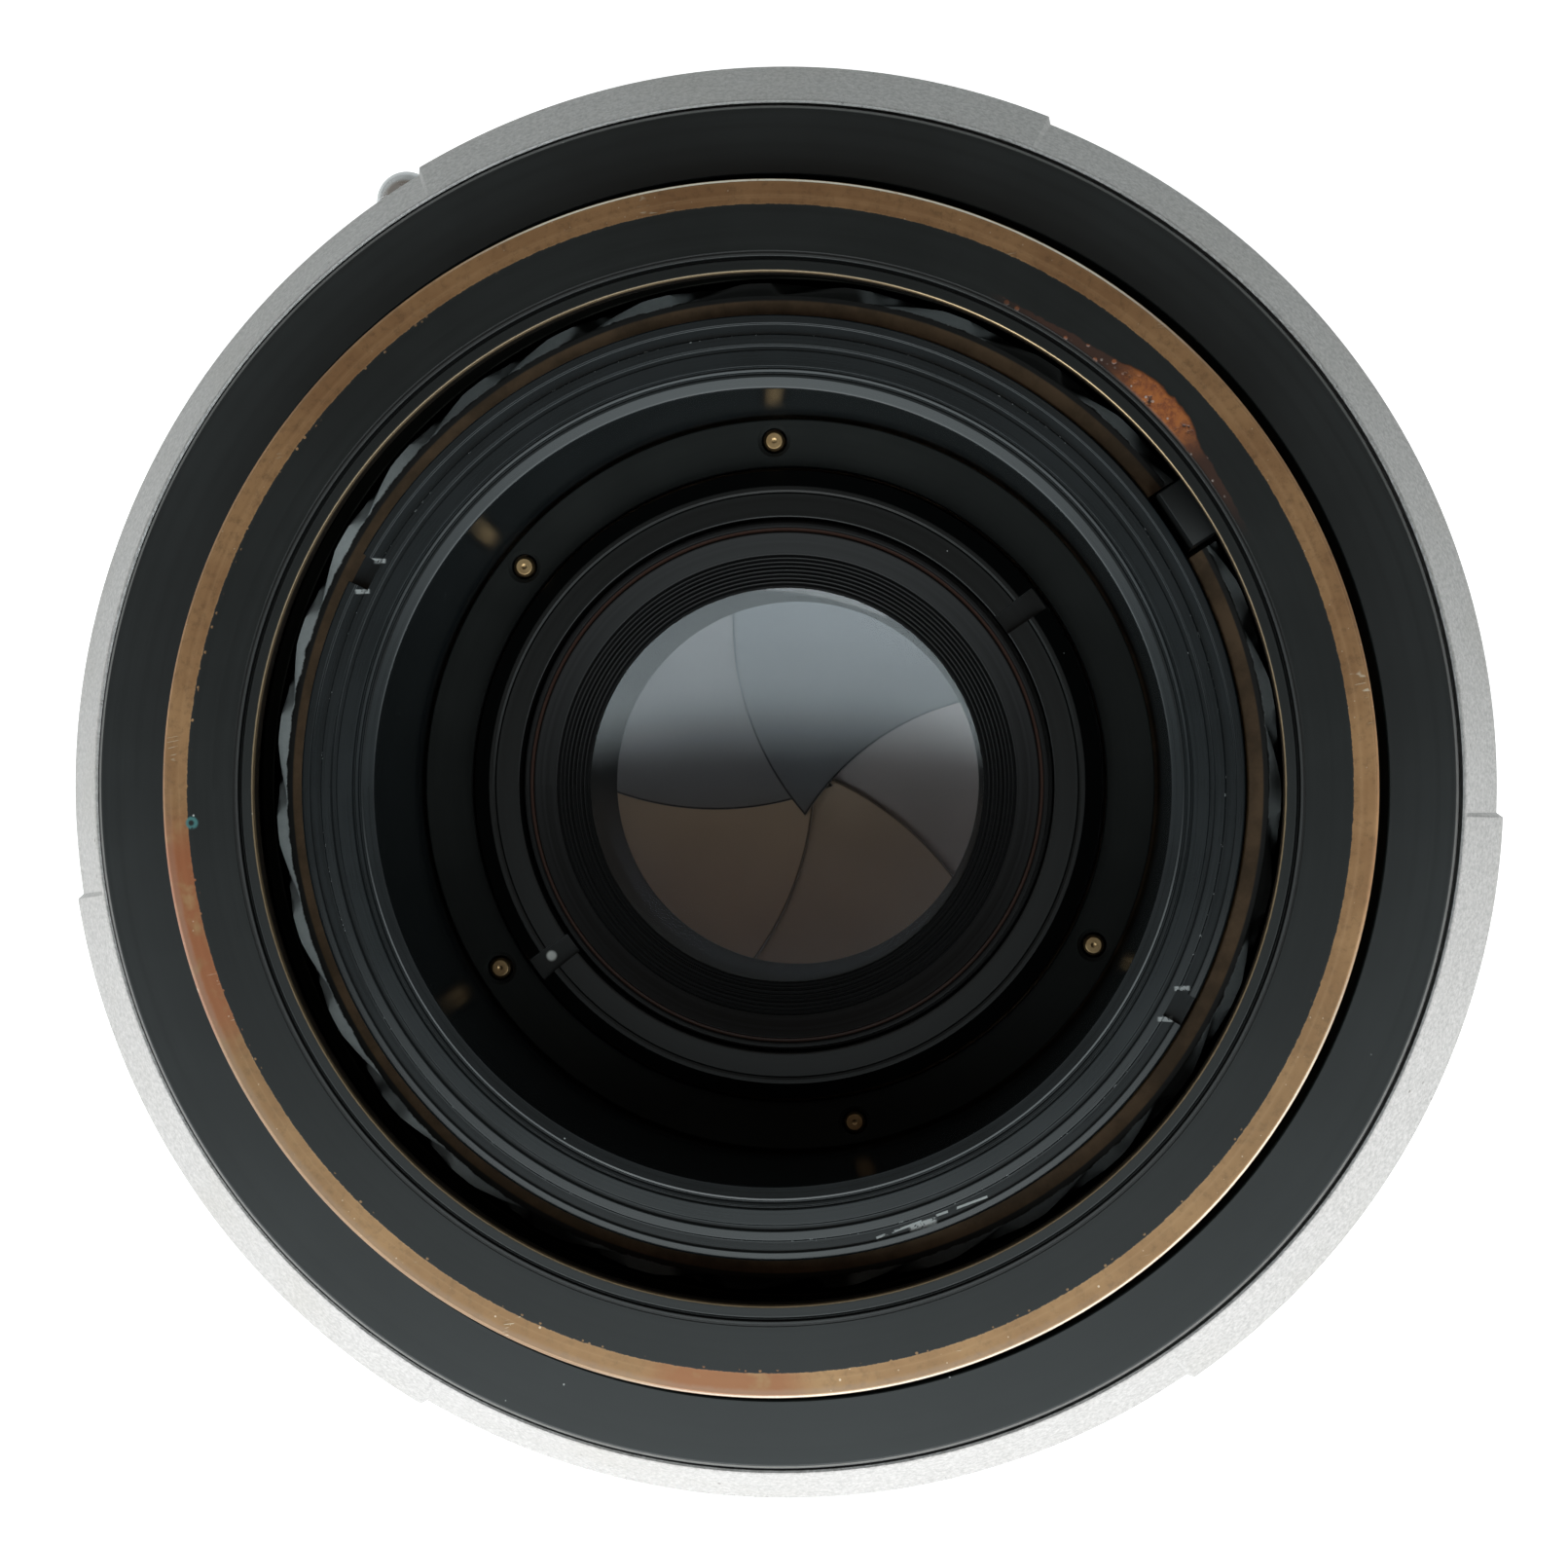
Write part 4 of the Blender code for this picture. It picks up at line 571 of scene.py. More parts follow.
def prism(name, outline, z0, z1, bevel=0.0):
    """Flat plate of a closed outline, with softened edges if bevel is given."""
    bm = bmesh.new()
    low = [bm.verts.new((x * MM, y * MM, z0 * MM)) for x, y in outline]
    face = bm.faces.new(low)
    grown = bmesh.ops.extrude_face_region(bm, geom=[face])
    top = [g for g in grown["geom"] if isinstance(g, bmesh.types.BMVert)]
    bmesh.ops.translate(bm, verts=top, vec=(0, 0, (z1 - z0) * MM))
    bmesh.ops.recalc_face_normals(bm, faces=bm.faces)
    if bevel:
        edges = [e for e in bm.edges if abs(e.verts[0].co.z - e.verts[1].co.z) < 1e-9]
        bmesh.ops.bevel(bm, geom=edges, offset=bevel * MM, segments=2, affect="EDGES", profile=0.5)
    mesh = bpy.data.meshes.new(name)
    bm.to_mesh(mesh)
    bm.free()
    smooth(mesh)
    return add_object(name, mesh)


def block(name, r0, r1, width, angle, z0, z1, bevel=0.0):
    """Straight block along a radius."""
    corners = [(r0, -width / 2), (r1, -width / 2), (r1, width / 2), (r0, width / 2)]
    return prism(name, [turned_about(corner, (0, 0), angle) for corner in corners], z0, z1, bevel)


def notched(middles, half, past_radius, bottom):
    """For flat notches across a ring's face: its shape function and the angles of their walls."""
    def shape(r, z, a):
        for middle in middles:
            inside = (np.abs(a - middle) < half) & (r > past_radius) & (z > bottom)
            z = np.where(inside, bottom, z)
        return r, z

    walls = [side * half + offset for side in (-1, 1) for offset in (-0.02, 0.02)]
    return shape, [middle + wall for middle in middles for wall in walls]


def arc_points(centre, radius, start, end, count):
    """Points along an arc, both ends included."""
    points = []
    for i in range(count):
        x, y = polar(radius, start + (end - start) * i / (count - 1))
        points.append((centre[0] + x, centre[1] + y))
    return points


def sector(r0, r1, start, end, count):
    """Outline between two radii and two angles."""
    return arc_points((0, 0), r1, start, end, count) + arc_points((0, 0), r0, end, start, count)


def turned_about(point, centre, angle):
    """An (x, y) point turned about another."""
    x, y = point[0] - centre[0], point[1] - centre[1]
    a = math.radians(angle)
    return (centre[0] + x * math.cos(a) - y * math.sin(a),
            centre[1] + x * math.sin(a) + y * math.cos(a))


# ---- focusing mount ----

LANDS = ((67.5, 120.4), (188.8, 240.3), (305.0, 358.0))
LAND_RISE = 0.3686
LAND_EDGE = 0.35  # degrees over which a land rises
KNURL_RIBS = 180
KEY_ANGLE = 33.3
GUIDE_PIN_ANGLE = 213.0
WEB_SCREW_ANGLES = (33.0, 153.0, 273.0)
WEB_SCREW_CIRCLE = 37.7


def land_share(angle):
    """1 on the grip lands, 0 between them."""
    share = np.zeros_like(angle)
    for start, end in LANDS:
        rise = np.clip((angle - start) / LAND_EDGE, 0, 1)
        fall = np.clip((end - angle) / LAND_EDGE, 0, 1)
        share = np.maximum(share, rise * fall)
    return share


def focus_ring():
    outline = [
        (39.0, 42.4), (39.7, 43.1), (39.7, 43.8, 0), (39.7, 44.6, 0), (39.7, 56.8, 0),
        (39.7, 57.6, 0), (39.7, 58.6, 0.25), (39.4, 59.08, 0.25), (37.3, 63.0, 0.15),
        (37.3, 60.8), (34.9, 60.8), (34.9, 48.9), (36.4, 48.9), (36.4, 45.3), (39.1, 45.3),
        (39.1, 42.4),
    ]

    def shape(r, z, a):
        raised = land_share(a)
        r = r + LAND_RISE * raised * (r > 38.9)
        # straight knurl on the lands' sides
        deep = np.clip((z - 44.0) / 0.5, 0, 1) * np.clip((57.4 - z) / 0.5, 0, 1)
        wave = np.abs(np.sin(np.radians(a) * (KNURL_RIBS / 2)))
        return r - 0.3 * (1 - wave) ** 2 * deep * raised * (r > 39.6), z

    walls = []
    for start, end in LANDS:
        walls += [start, start + LAND_EDGE, end - LAND_EDGE, end]
    ring = turned("focus_ring_chrome", soften(outline, 0.12), 1080, shape, walls)
    edges = [(39.7, 58.7, 0.5), (37.4, 62.9, 0.45), (39.4, 42.8, 0.5)]
    dress(ring, "focus", satin_chrome("satin_chrome", edges), "satin_chrome", "focus_ring")


def mount_pieces():
    hole, tube, rim, seat = 33.25, 34.6, 37.0, 63.9
    outline = [
        (hole, 48.3), (tube, 48.3), (tube, 61.1), (rim, 61.1), (rim, seat - 0.22, 0.08),
        (rim - 0.2, seat, 0.08), (hole + 0.07, seat, 0.03), (hole, seat - 0.07, 0.03),
    ]
    flange = turned("mount_flange_black", soften(outline, 0.08), 300)
    worn_edge = [(rim - 0.07, seat - 0.08, 0.1)]
    paint = black_paint("flange_paint", worn_edge, worn=(0.12, 0.12, 0.115))
    dress(flange, "mount", paint, "black_paint", "mount_flange")
    ring = turned("focus_retaining_ring_black",
                  soften([(34.9, 45.9), (36.1, 45.9), (36.1, 48.6), (34.9, 48.6)], 0.1), 200)
    dress(ring, "mount", black_paint("inner_paint"), "black_paint", "focus_retaining_ring")


def nut_and_screws():
    outline = [(28.1, 42.7), (38.75, 42.7), (38.75, 45.0), (28.9, 45.0), (28.9, 59.5), (28.1, 59.5)]
    nut = turned("helicoid_nut_brass", soften(outline, 0.1), 240)
    boolean(nut, [rod(0.85, 42.0, 46.0, polar(WEB_SCREW_CIRCLE, a)) for a in WEB_SCREW_ANGLES])
    dress(nut, "focus", aged_brass("nut_brass", painted_shade_above=55.0), "brass", "helicoid_nut")
    outline = soften([(0, 42.1, 0), (0.98, 42.1), (0.98, 42.55), (0.5, 42.55), (0.5, 47.3),
                      (0, 47.3, 0)], 0.08)
    for k, angle in enumerate(WEB_SCREW_ANGLES):
        at = polar(WEB_SCREW_CIRCLE, angle)
        screw = shift(turned(f"focus_screw_{k + 1}", outline, 28), at)
        boolean(screw, [shift(block("slot", -2, 2, 0.28, angle + 25 * k, 41.9, 42.3), at)])
        dress(screw, "focus", plain_steel(f"screw_steel_{k + 1}"), "steel",
              f"focus_ring_screw_{k + 1}")


def cam_ring():
    face = CAM_FACE
    outline = [
        (29.4, 51.0), (32.3, 51.0), (32.3, face - 0.16, 0.06), (32.15, face, 0.06),
        (28.22, face, 0.03), (28.1, face - 0.2, 0.03), (27.98, face, 0.03), (27.4, face, 0.06),
        (27.4, 66.9), (29.4, 66.9),
    ]
    ring = turned("rangefinder_cam_ring_brass", soften(outline, 0.1), 360)
    boolean(ring, [block("groove", 31.0, 33.3, 2.2, GUIDE_PIN_ANGLE, 50.0, 62.0)])
    dress(ring, "cam", cam_ring_material(), "brass", "rangefinder_cam_ring")


def key():
    top = 66.6
    body = block("helicoid_key_black", 26.0, 27.7, 3.4, KEY_ANGLE, top - 11.0, top, 0.12)
    ear = block("ear", 26.9, 29.1, 3.38, KEY_ANGLE, top - 1.3, top - 0.01, 0.1)
    boolean(body, [ear], "UNION")
    paint = black_paint("key_paint", colour=(0.002, 0.0023, 0.0023), roughness=0.5, dust=0.0,
                        level=0.15)
    dress(body, "cam", paint, "black_paint", "helicoid_key")


# ---- barrel ----

THREAD_STARTS = 31
TOOTH_PHASE = 0.7
THREAD_TURN = 0.33  # teeth that the thread shifts by in a millimetre
PIN_CIRCLE = 20.1
PIN_ANGLES = (92.3, 140.5, 212.5, 281.2, 332.4)
SPANNER_NOTCHES = (152.0, 332.0)
CELL_SLOTS = (36.5, 216.5)
CELL_BORE = 18.56


def helicoid_barrel():
    root, crest, low, top = 27.1, 27.75, 46.5, 60.9
    levels = [*np.linspace(low, top - 0.35, 46), top - 0.14]
    outline = ([(CELL_BORE, 41.8), (root, 41.8), (root, low - 0.6, 0)]
               + [(root, z, 0) for z in levels]
               + [(root, top, 0.05), (25.9, top, 0.12), (25.9, 45.2), (CELL_BORE, 45.2)])

    def shape(r, z, a):
        phase = (a * THREAD_STARTS / 360.0 - TOOTH_PHASE - (z - top) * THREAD_TURN) % 1.0
        tooth = np.clip(phase / 0.1, 0, 1) * np.clip((1.02 - phase) / 0.62, 0, 1)
        inside = np.clip((z - low) / 0.8, 0, 1) * np.clip((top + 0.03 - z) / 0.15, 0, 1)
        return r + (crest - root) * tooth * inside * (r > root - 0.01), z

    barrel = turned("helicoid_barrel_brass", soften(outline, 0.1), THREAD_STARTS * 14, shape)
    slot = block("slot", 25.2, 29.0, 4.0, KEY_ANGLE, 55.3, 62.0)
    boolean(barrel, [slot, *(rod(0.9, 41.0, 46.0, polar(PIN_CIRCLE, a)) for a in PIN_ANGLES)])
    p = Paint("barrel_brass", (0.3, 0.19, 0.09), metallic=1.0, roughness=0.42)
    cloud = p.noise(0.3, 5.0, 0.65)
    lines = p.turning(4.0)
    fine = p.noise(2.5, 3.0, 0.7)
    brown = p.mix(cloud.ramp(0.35, 0.65), (0.085, 0.05, 0.024), (0.16, 0.096, 0.05))
    upper = p.z.ramp(top - 1.2, top - 0.9)
    # near black outside r 26.8: the outer edge of the top face and the thread
    near_black_outside = p.r.ramp(26.72, 26.84)
    brown = p.mix(near_black_outside, brown, (0.005, 0.005, 0.0045))
    # dried grease on the tooth ends; its paler copy towards -X is painted light, its darker copy
    # elsewhere painted shade
    patch = p.noise(1.0, 4.0, 0.7)
    share = (p.noise(0.16, 2.0) + p.arc(120, 215, 12) * 0.2).ramp(0.44, 0.54)
    pale = (p.r + (patch - 0.5) * 0.4).ramp(27.08, 27.18) * upper * share
    shaded_grease = p.mix(fine, (0.075, 0.083, 0.084), (0.12, 0.13, 0.132))
    lit_grease = p.mix(fine, (0.33, 0.36, 0.365), (0.48, 0.51, 0.51))
    # pale copy over 140 to 232 degrees as painted light, dark copy elsewhere as painted shade
    brown = p.mix(pale, brown, p.mix(p.arc(140, 232, 10), shaded_grease, lit_grease))
    p.use("Metallic", near_black_outside * -0.45 + 0.45)
    paint = p.finish(brown, near_black_outside * -0.1 + lines * 0.1 + pale * 0.35 + 0.36,
                     fine * 0.004 + lines * 0.003 + pale * 0.03)
    dress(barrel, "barrel", paint, "brass", "helicoid_barrel")


def baffle_sleeve():
    """Enamelled sleeve with stepped grooves and two notches across its face."""
    top = 64.5
    grooves = [  # radius, depth under the top, rounding
        (25.6, 0.09, 0.1), (25.14, 0.04, 0.03), (25.12, 0.3, 0.04), (24.56, 0.3, 0.04),
        (24.5, 0.07, 0.03), (24.0, 0.04, 0.015), (23.95, 0.34, 0.04), (23.72, 0.34, 0.04),
        (23.66, 0.2, 0.03), (22.84, 0.19, 0.02), (22.79, 0.42, 0.02), (22.72, 0.42, 0.02),
        (22.67, 0.27, 0.02), (22.53, 0.3, 0.02), (22.48, 0.46, 0.02), (22.41, 0.46, 0.02),
        (22.36, 0.335, 0.02), (22.25, 0.3, 0.04), (21.64, 0.42, 0.1),
    ]
    outline = [(21.64, 45.5), (25.6, 45.5), *((r, top - depth, soft) for r, depth, soft in grooves)]
    shape, walls = notched(SPANNER_NOTCHES, 1.86, 24.45, top - 1.2)
    sleeve = turned("baffle_sleeve_black", soften(outline, 0.1), 360, shape, walls)
    p = Paint("sleeve_enamel", (0.012, 0.015, 0.017), roughness=0.3, Specular_IOR_Level=0.4)
    lines = p.turning(7.0)
    cloud = p.noise(0.2, 4.0, 0.6)
    colour = p.mix((lines * 0.5 + cloud * 0.5).ramp(0.35, 0.7), (0.0085, 0.0105, 0.0115),
                   (0.0115, 0.014, 0.0155))
    # rub marks beside the notches, and one long scratch with a chip in it
    chips = p.noise(4.5, 3.0, 0.8)
    rub = None
    for angle in (149.9, 154.3, 329.8, 334.2):
        start, end = polar(24.25, angle - 0.5), polar(25.1, angle + 0.5)
        one = p.streak(start, end, 0.15) * chips.ramp(0.38, 0.46)
        rub = one if rub is None else rub.most(one)
    track = p.streak((5.75, -24.34), (11.81, -22.02), 0.08) * p.noise(1.5, 2.0).ramp(0.4, 0.48)
    track = track.most(p.streak((7.5, -23.8), (9.1, -23.3), 0.2) * chips.ramp(0.4, 0.48))
    edge = p.r.band(24.52, 0.03, 0.05) * p.noise(2.6, 3.0, 0.8).ramp(0.62, 0.68)
    white = (rub * 0.5).most(track).most(edge * 0.7)
    motes = p.specks(0.8, 0.05, 0.045)
    colour = p.mix(white.most(motes * 0.7), colour, (0.42, 0.44, 0.44))
    paint = p.finish(colour, lines * 0.05 + cloud * 0.05 + white * 0.2 + 0.15,
                     lines * 0.0004 - white * 0.01)
    dress(sleeve, "barrel", paint, "black_gloss", "baffle_sleeve")


def pin_plate():
    top = 49.0
    outline = [(CELL_BORE, 48.0), (21.34, 48.0), (21.34, top), (CELL_BORE, top)]
    plate = turned("pin_plate_black", soften(outline, 0.1), 240)
    hole = [(0, 47.0), (0.75, 47.0), (0.75, top - 0.22), (1.0, top + 0.03), (1.0, top + 0.5),
            (0, top + 0.5)]
    boolean(plate, [shift(turned("hole", hole, 32), polar(PIN_CIRCLE, a)) for a in PIN_ANGLES])
    paint = black_paint("plate_paint", colour=(0.0105, 0.0112, 0.0108), roughness=0.34, dust=0.02,
                        level=0.02)
    dress(plate, "barrel", paint, "black_paint", "pin_plate")
    outline = soften([(0, 39.8, 0), (0.6, 39.8), (0.6, top - 0.16, 0.04), (0.46, top, 0.04),
                      (0.16, top, 0.02), (0, top - 0.07, 0)], 0.05)
    for k, angle in enumerate(PIN_ANGLES):
        pin = shift(turned(f"plate_pin_{k + 1}_brass", outline, 36), polar(PIN_CIRCLE, angle))
        dress(pin, "barrel", aged_brass(f"pin_brass_{k + 1}", turned=2.0), "brass",
              f"plate_pin_{k + 1}")


def rear_cell():
    top = 51.1
    outline = [
        (9.3, 39.5), (14.9, 39.5), (14.9, 41.8), (18.26, 41.8), (18.26, 50.0, 0.08),
        (17.3, top, 0.08), (17.05, top, 0.03), (16.95, top - 0.07, 0.02), (16.85, top, 0.03),
        (15.5, top, 0.06), (15.5, 49.4), (12.4, 49.4), (12.4, 45.5), (11.4, 45.5),
        (11.4, 41.5, 0.2), (9.3, 39.9, 0.05),
    ]
    shape, walls = notched(CELL_SLOTS, 2.3, 15.3, top - 1.0)
    cell = turned("rear_cell_black", soften(outline, 0.1), 300, shape, walls)
    p = Paint("cell_paint", (0.005, 0.005, 0.005), roughness=0.32, Specular_IOR_Level=0.26)
    lines = p.turning(6.0)
    colour = p.mix(lines.ramp(0.35, 0.7), (0.0016, 0.0018, 0.0017), (0.0027, 0.003, 0.0029))
    chip = p.near(216.0, 17.0, 0.19, 0.18)
    chips = p.specks(1.5, 0.12, 0.08) * p.arc(20, 60, 8)
    colour = p.mix(chip.most(chips * 0.7), colour, (0.55, 0.56, 0.54))
    paint = p.finish(colour, lines * 0.06 + 0.29, lines * 0.0015)
    dress(cell, "barrel", paint, "black_paint", "rear_cell_body")


def rear_baffle():
    """Cone down to the glass, with a row of fine saw-toothed grooves."""
    outer, face = 15.2, 51.0
    r, z, grooves = 13.4, 50.78, 8  # where the grooves start, and how many
    pitch = (r - 11.55) / grooves
    outline = [(outer, 49.7), (outer, face, 0.05), (14.95, face, 0.04), (14.85, face - 0.18, 0.02),
               (14.72, face - 0.18, 0.02), (14.62, face - 0.02, 0.03), (r, z, 0.04)]
    for _ in range(grooves):
        outline += [(r - pitch * 0.2, z - 0.02, 0.01), (r - pitch * 0.36, z - 0.17, 0.01),
                    (r - pitch, z - 0.04, 0.01)]
        r, z = r - pitch, z - 0.04
    outline += [(11.4, 50.25, 0.03), (12.4, 50.15, 0), (12.4, 49.7, 0)]
    ring = turned("rear_baffle_ring_black", soften(outline, 0.06, 2), 300, sharp=28.0)
    p = Paint("baffle_paint", (0.008, 0.008, 0.008), roughness=0.3, Specular_IOR_Level=0.12)
    lines = p.turning(6.0)
    colour = p.mix(lines.ramp(0.35, 0.7), (0.0045, 0.0045, 0.0045), (0.0085, 0.0085, 0.0088))
    groove = p.r.band(14.78, 0.07, 0.05)
    colour = p.mix(groove * 0.8, colour, (0.028, 0.012, 0.008))
    paint = p.finish(colour, lines * 0.14 + 0.22, lines * 0.004)
    dress(ring, "barrel", paint, "black_paint", "rear_baffle_ring")


def crowned(radius, edge_z, crown, steps):
    """Profile of a spherical face, from its edge to the axis; crown is its height there."""
    ball = (radius ** 2 + crown ** 2) / (2 * abs(crown))
    points = []
    for i in range(steps + 1):
        r = radius * (1 - i / steps)
        drop = math.copysign(ball - math.sqrt(ball ** 2 - r ** 2), crown)
        points.append((r, edge_z + crown - drop))
    return points


def lens_elements():
    """Three elements; only the rear one's first face is coated, so it has two materials."""
    radius, edge = 12.1, 49.8
    rear = turned("rear_element_glass",
                  crowned(radius, edge, 1.9, 24) + crowned(radius, 45.8, -0.9, 16)[::-1], 192)
    coated = glass("rear_glass_coated", mirror=(0.028, 0.032, 0.04))
    dress(rear, "barrel", coated, "glass", "rear_element")
    rear.data.materials.append(glass("rear_glass"))
    for polygon in rear.data.polygons:
        polygon.material_index = int(polygon.center.z < (edge - 0.01) * MM)

    edge = 9.0
    front = (crowned(15.5, 12.0, -0.5, 16)[::-1] + [(15.5, edge)]
             + crowned(14.4, edge + 0.1, -3.1, 24))
    dress(turned("front_element_glass", front[::-1], 192), "barrel", glass("front_glass"), "glass",
          "front_element")
    low = crowned(14.1, 16.0, 1.3, 16)
    high = crowned(14.1, 18.6, -0.8, 16)
    outline = [(15.5, 18.6), *high, *low[::-1], (15.5, 16.0)]
    dress(turned("middle_element_glass", outline, 160), "barrel", glass("middle_glass"), "glass",
          "middle_element")


# ---- shutter ----

CASE_R, CASE_IN_R = 29.0, 27.5
SPEED_RIBS = 120
COCKING_ANGLE, COCKING_TURN = 124.6, 50.0
APERTURE_ANGLE, APERTURE_TURN = 232.0, 40.0
RELEASE_ANGLE, RELEASE_TURN = 178.0, 12.0
SYNC_ANGLE, SYNC_TURN = 338.0, 20.0
LEVER_POST = 23.2  # radius at which the two levers pivot
CABLE_SOCKET_ANGLE = 203.0
FLASH_SOCKET_ANGLE = 302.0
SOCKET_LEVEL = 33.0


def shutter_outside():
    case = turned("shutter_case_black", soften([
        (CASE_IN_R, 24.5), (CASE_R, 24.5), (CASE_R, 26.4, 0.05), (28.75, 26.6, 0.04),
        (28.75, 27.0, 0.04), (CASE_R, 27.2, 0.05), (CASE_R, 40.9, 0.15), (28.4, 41.5, 0.15),
        (15.2, 41.5), (15.2, 39.5), (CASE_IN_R, 39.5),
    ], 0.1), 240)
    slots = [prism("slot", sector(26.0, 31.0, start, end, 24), z0, z1)
             for start, end, z0, z1 in lever_slots()]
    boolean(case, slots + [rod(0.9, 38.5, 42.5, polar(PIN_CIRCLE, a)) for a in PIN_ANGLES])
    paint = black_paint("case_paint", [(28.9, 41.2, 0.2), (28.95, 24.6, 0.15)], roughness=0.42)
    dress(case, "barrel", paint, "black_paint", "shutter_case")

    face = turned("shutter_face_ring_black", soften(
        [(20.9, 18.3), (27.1, 18.3), (27.5, 18.7), (27.5, 19.5), (20.9, 19.5)], 0.1), 240)
    paint = black_paint("face_paint", [(27.2, 18.4, 0.14)], roughness=0.4)
    dress(face, "barrel", paint, "black_paint", "shutter_face_ring")

    def serrate(r, z, a):
        wave = np.abs(np.sin(np.radians(a) * (SPEED_RIBS / 2)))
        deep = np.clip((z - 21.6) / 0.2, 0, 1) * np.clip((23.9 - z) / 0.2, 0, 1)
        return r - 0.35 * (1 - wave) ** 1.5 * deep * (r > 30.0), z

    speed = turned("speed_ring_chrome", soften(
        [(23.0, 19.8), (27.8, 19.8), (29.4, 21.0), (30.2, 21.4), (30.2, 21.6, 0), (30.2, 21.8, 0),
         (30.2, 23.7, 0), (30.2, 23.9, 0), (29.9, 24.2), (23.0, 24.2)], 0.1), 960, serrate)
    satin = satin_chrome("speed_ring_satin", [(30.1, 21.5, 0.3)], ticks=(28.7, 0.4, 19.0))
    dress(speed, "speed", satin, "satin_chrome", "speed_ring")


def lever_slots():
    """Start, end and levels of the slots in the case that the levers swing in."""
    arm, clear = 3.6, 0.3
    half = math.degrees((arm / 2 + 2 * clear) / CASE_IN_R)
    swing = (CASE_R - LEVER_POST) / CASE_IN_R
    return [
        (COCKING_ANGLE - COCKING_TURN - half, COCKING_ANGLE + half, 28.7, 30.5),
        (APERTURE_ANGLE - half, APERTURE_ANGLE + APERTURE_TURN + half, 30.2, 31.8),
        (RELEASE_ANGLE - half - RELEASE_TURN * swing, RELEASE_ANGLE + half, 27.4, 29.0),
        (SYNC_ANGLE - half, SYNC_ANGLE + half + SYNC_TURN * swing, 27.4, 29.0),
    ]


def knob(name, at, low, top, radius, height):
    """Two rounded heads above and below an arm that lies between two levels."""
    neck, low, top = 0.8, low - 0.3, top + 0.3
    head, dome = (height - (top - low)) / 2, radius * 0.45
    outline = [(0, low - head, 0), (radius, low - head, dome), (radius, low, 0.12),
               (neck, low, 0.05), (neck, top, 0.05), (radius, top, 0.12),
               (radius, top + head, dome), (0, top + head, 0)]
    return shift(turned(name, soften(outline, 0.1, 6), 48), at)


def levers(chrome):
    pointer = knob("aperture_pointer_chrome", polar(33.7, APERTURE_ANGLE), 30.5, 31.5, 1.6, 4.2)
    dress(pointer, "aperture", chrome, "bright_chrome", "aperture_pointer")
    grip = knob("cocking_knob_chrome", polar(44.8, COCKING_ANGLE), 29.0, 30.2, 1.9, 6.0)
    dress(grip, "cocking", chrome, "bright_chrome", "cocking_knob")
    for name, body, angle, tip in (("release_lever", "release", RELEASE_ANGLE, 37.5),
                                   ("sync_lever", "sync", SYNC_ANGLE, 34.5)):
        outline = (arc_points((LEVER_POST, 0), 2.5, 45, 315, 30)
                   + arc_points((tip - 1.4, 0), 1.4, -90, 90, 17))
        outline = [turned_about(point, (0, 0), angle) for point in outline]
        lever = prism(f"{name}_chrome", outline, 27.7, 28.7, 0.15)
        boolean(lever, [rod(1.5, 27.0, 29.5, polar(LEVER_POST, angle), 32)])
        tab = prism("tab", sector(tip - 1.1, tip + 0.28, angle - 3.3, angle + 3.3, 9), 24.55, 28.3,
                    0.2)
        boolean(lever, [tab], "UNION")
        dress(lever, body, chrome, "bright_chrome", name)


def sockets():
    chrome = bpy.data.materials["bright_chrome"]
    cable = turned("cable_release_socket_chrome", soften([
        (0, 29.3, 0), (2.6, 29.3), (2.6, 30.3, 0.1), (2.35, 30.5, 0.1), (2.35, 31.0, 0.1),
        (2.6, 31.2, 0.1), (2.6, 35.3, 0.1), (2.1, 35.8, 0.1), (1.5, 35.8, 0.1), (0.9, 30.8, 0.05),
        (0, 30.8, 0)], 0.08), 64)
    dress(radial(cable, CABLE_SOCKET_ANGLE), "barrel", chrome, "bright_chrome",
          "cable_release_socket")
    flash = turned("flash_socket_chrome", soften([
        (0, 29.3, 0), (2.3, 29.3), (2.3, 33.9), (1.7, 33.9), (1.7, 30.1), (0, 30.1, 0)], 0.1), 64)
    dress(radial(flash, FLASH_SOCKET_ANGLE), "barrel", chrome, "bright_chrome", "flash_socket")
    pin = turned("flash_contact_pin_brass", soften([
        (0, 30.4, 0), (0.5, 30.4), (0.5, 33.1, 0.05), (0.3, 33.3, 0.15), (0, 33.3, 0)], 0.05), 32)
    dress(radial(pin, FLASH_SOCKET_ANGLE), "barrel", aged_brass("contact_brass"), "brass",
          "flash_contact_pin")


def front_cell():
    """Front barrel with a filter thread inside its rim, and the bezel round the front glass."""
    bore, pitch = 18.9, 0.5
    threads = []
    for k in range(8):
        z = 1.0 + pitch * k
        threads += [(bore, z, 0.02), (bore + 0.25, z + pitch / 2, 0.02)]
    outline = [(bore, 0.25, 0.1), (19.1, 0.0, 0.05), (20.1, 0.0), (20.5, 0.4), (20.5, 24.2),
               (14.9, 24.2), (14.9, 27.7), (12.4, 27.7), (12.4, 20.5), (13.2, 18.9), (15.8, 18.9),
               (15.8, 8.7), (bore, 8.7), *threads[::-1]]
    cell = turned("front_cell_black", soften(outline, 0.1), 300)
    paint = black_paint("barrel_paint", [(20.2, 0.15, 0.3), (19.0, 0.1, 0.2)], roughness=0.38)
    dress(cell, "barrel", paint, "black_paint", "front_cell_body")
    bezel = turned("front_bezel_black", soften(
        [(14.7, 7.8), (15.2, 6.8), (16.2, 6.72, 0.05), (16.3, 6.6, 0.03), (18.6, 6.3), (18.6, 8.4),
         (14.7, 8.4)], 0.1), 240)
    dress(bezel, "barrel", black_paint("bezel_paint", roughness=0.25), "black_gloss",
          "front_bezel_ring")


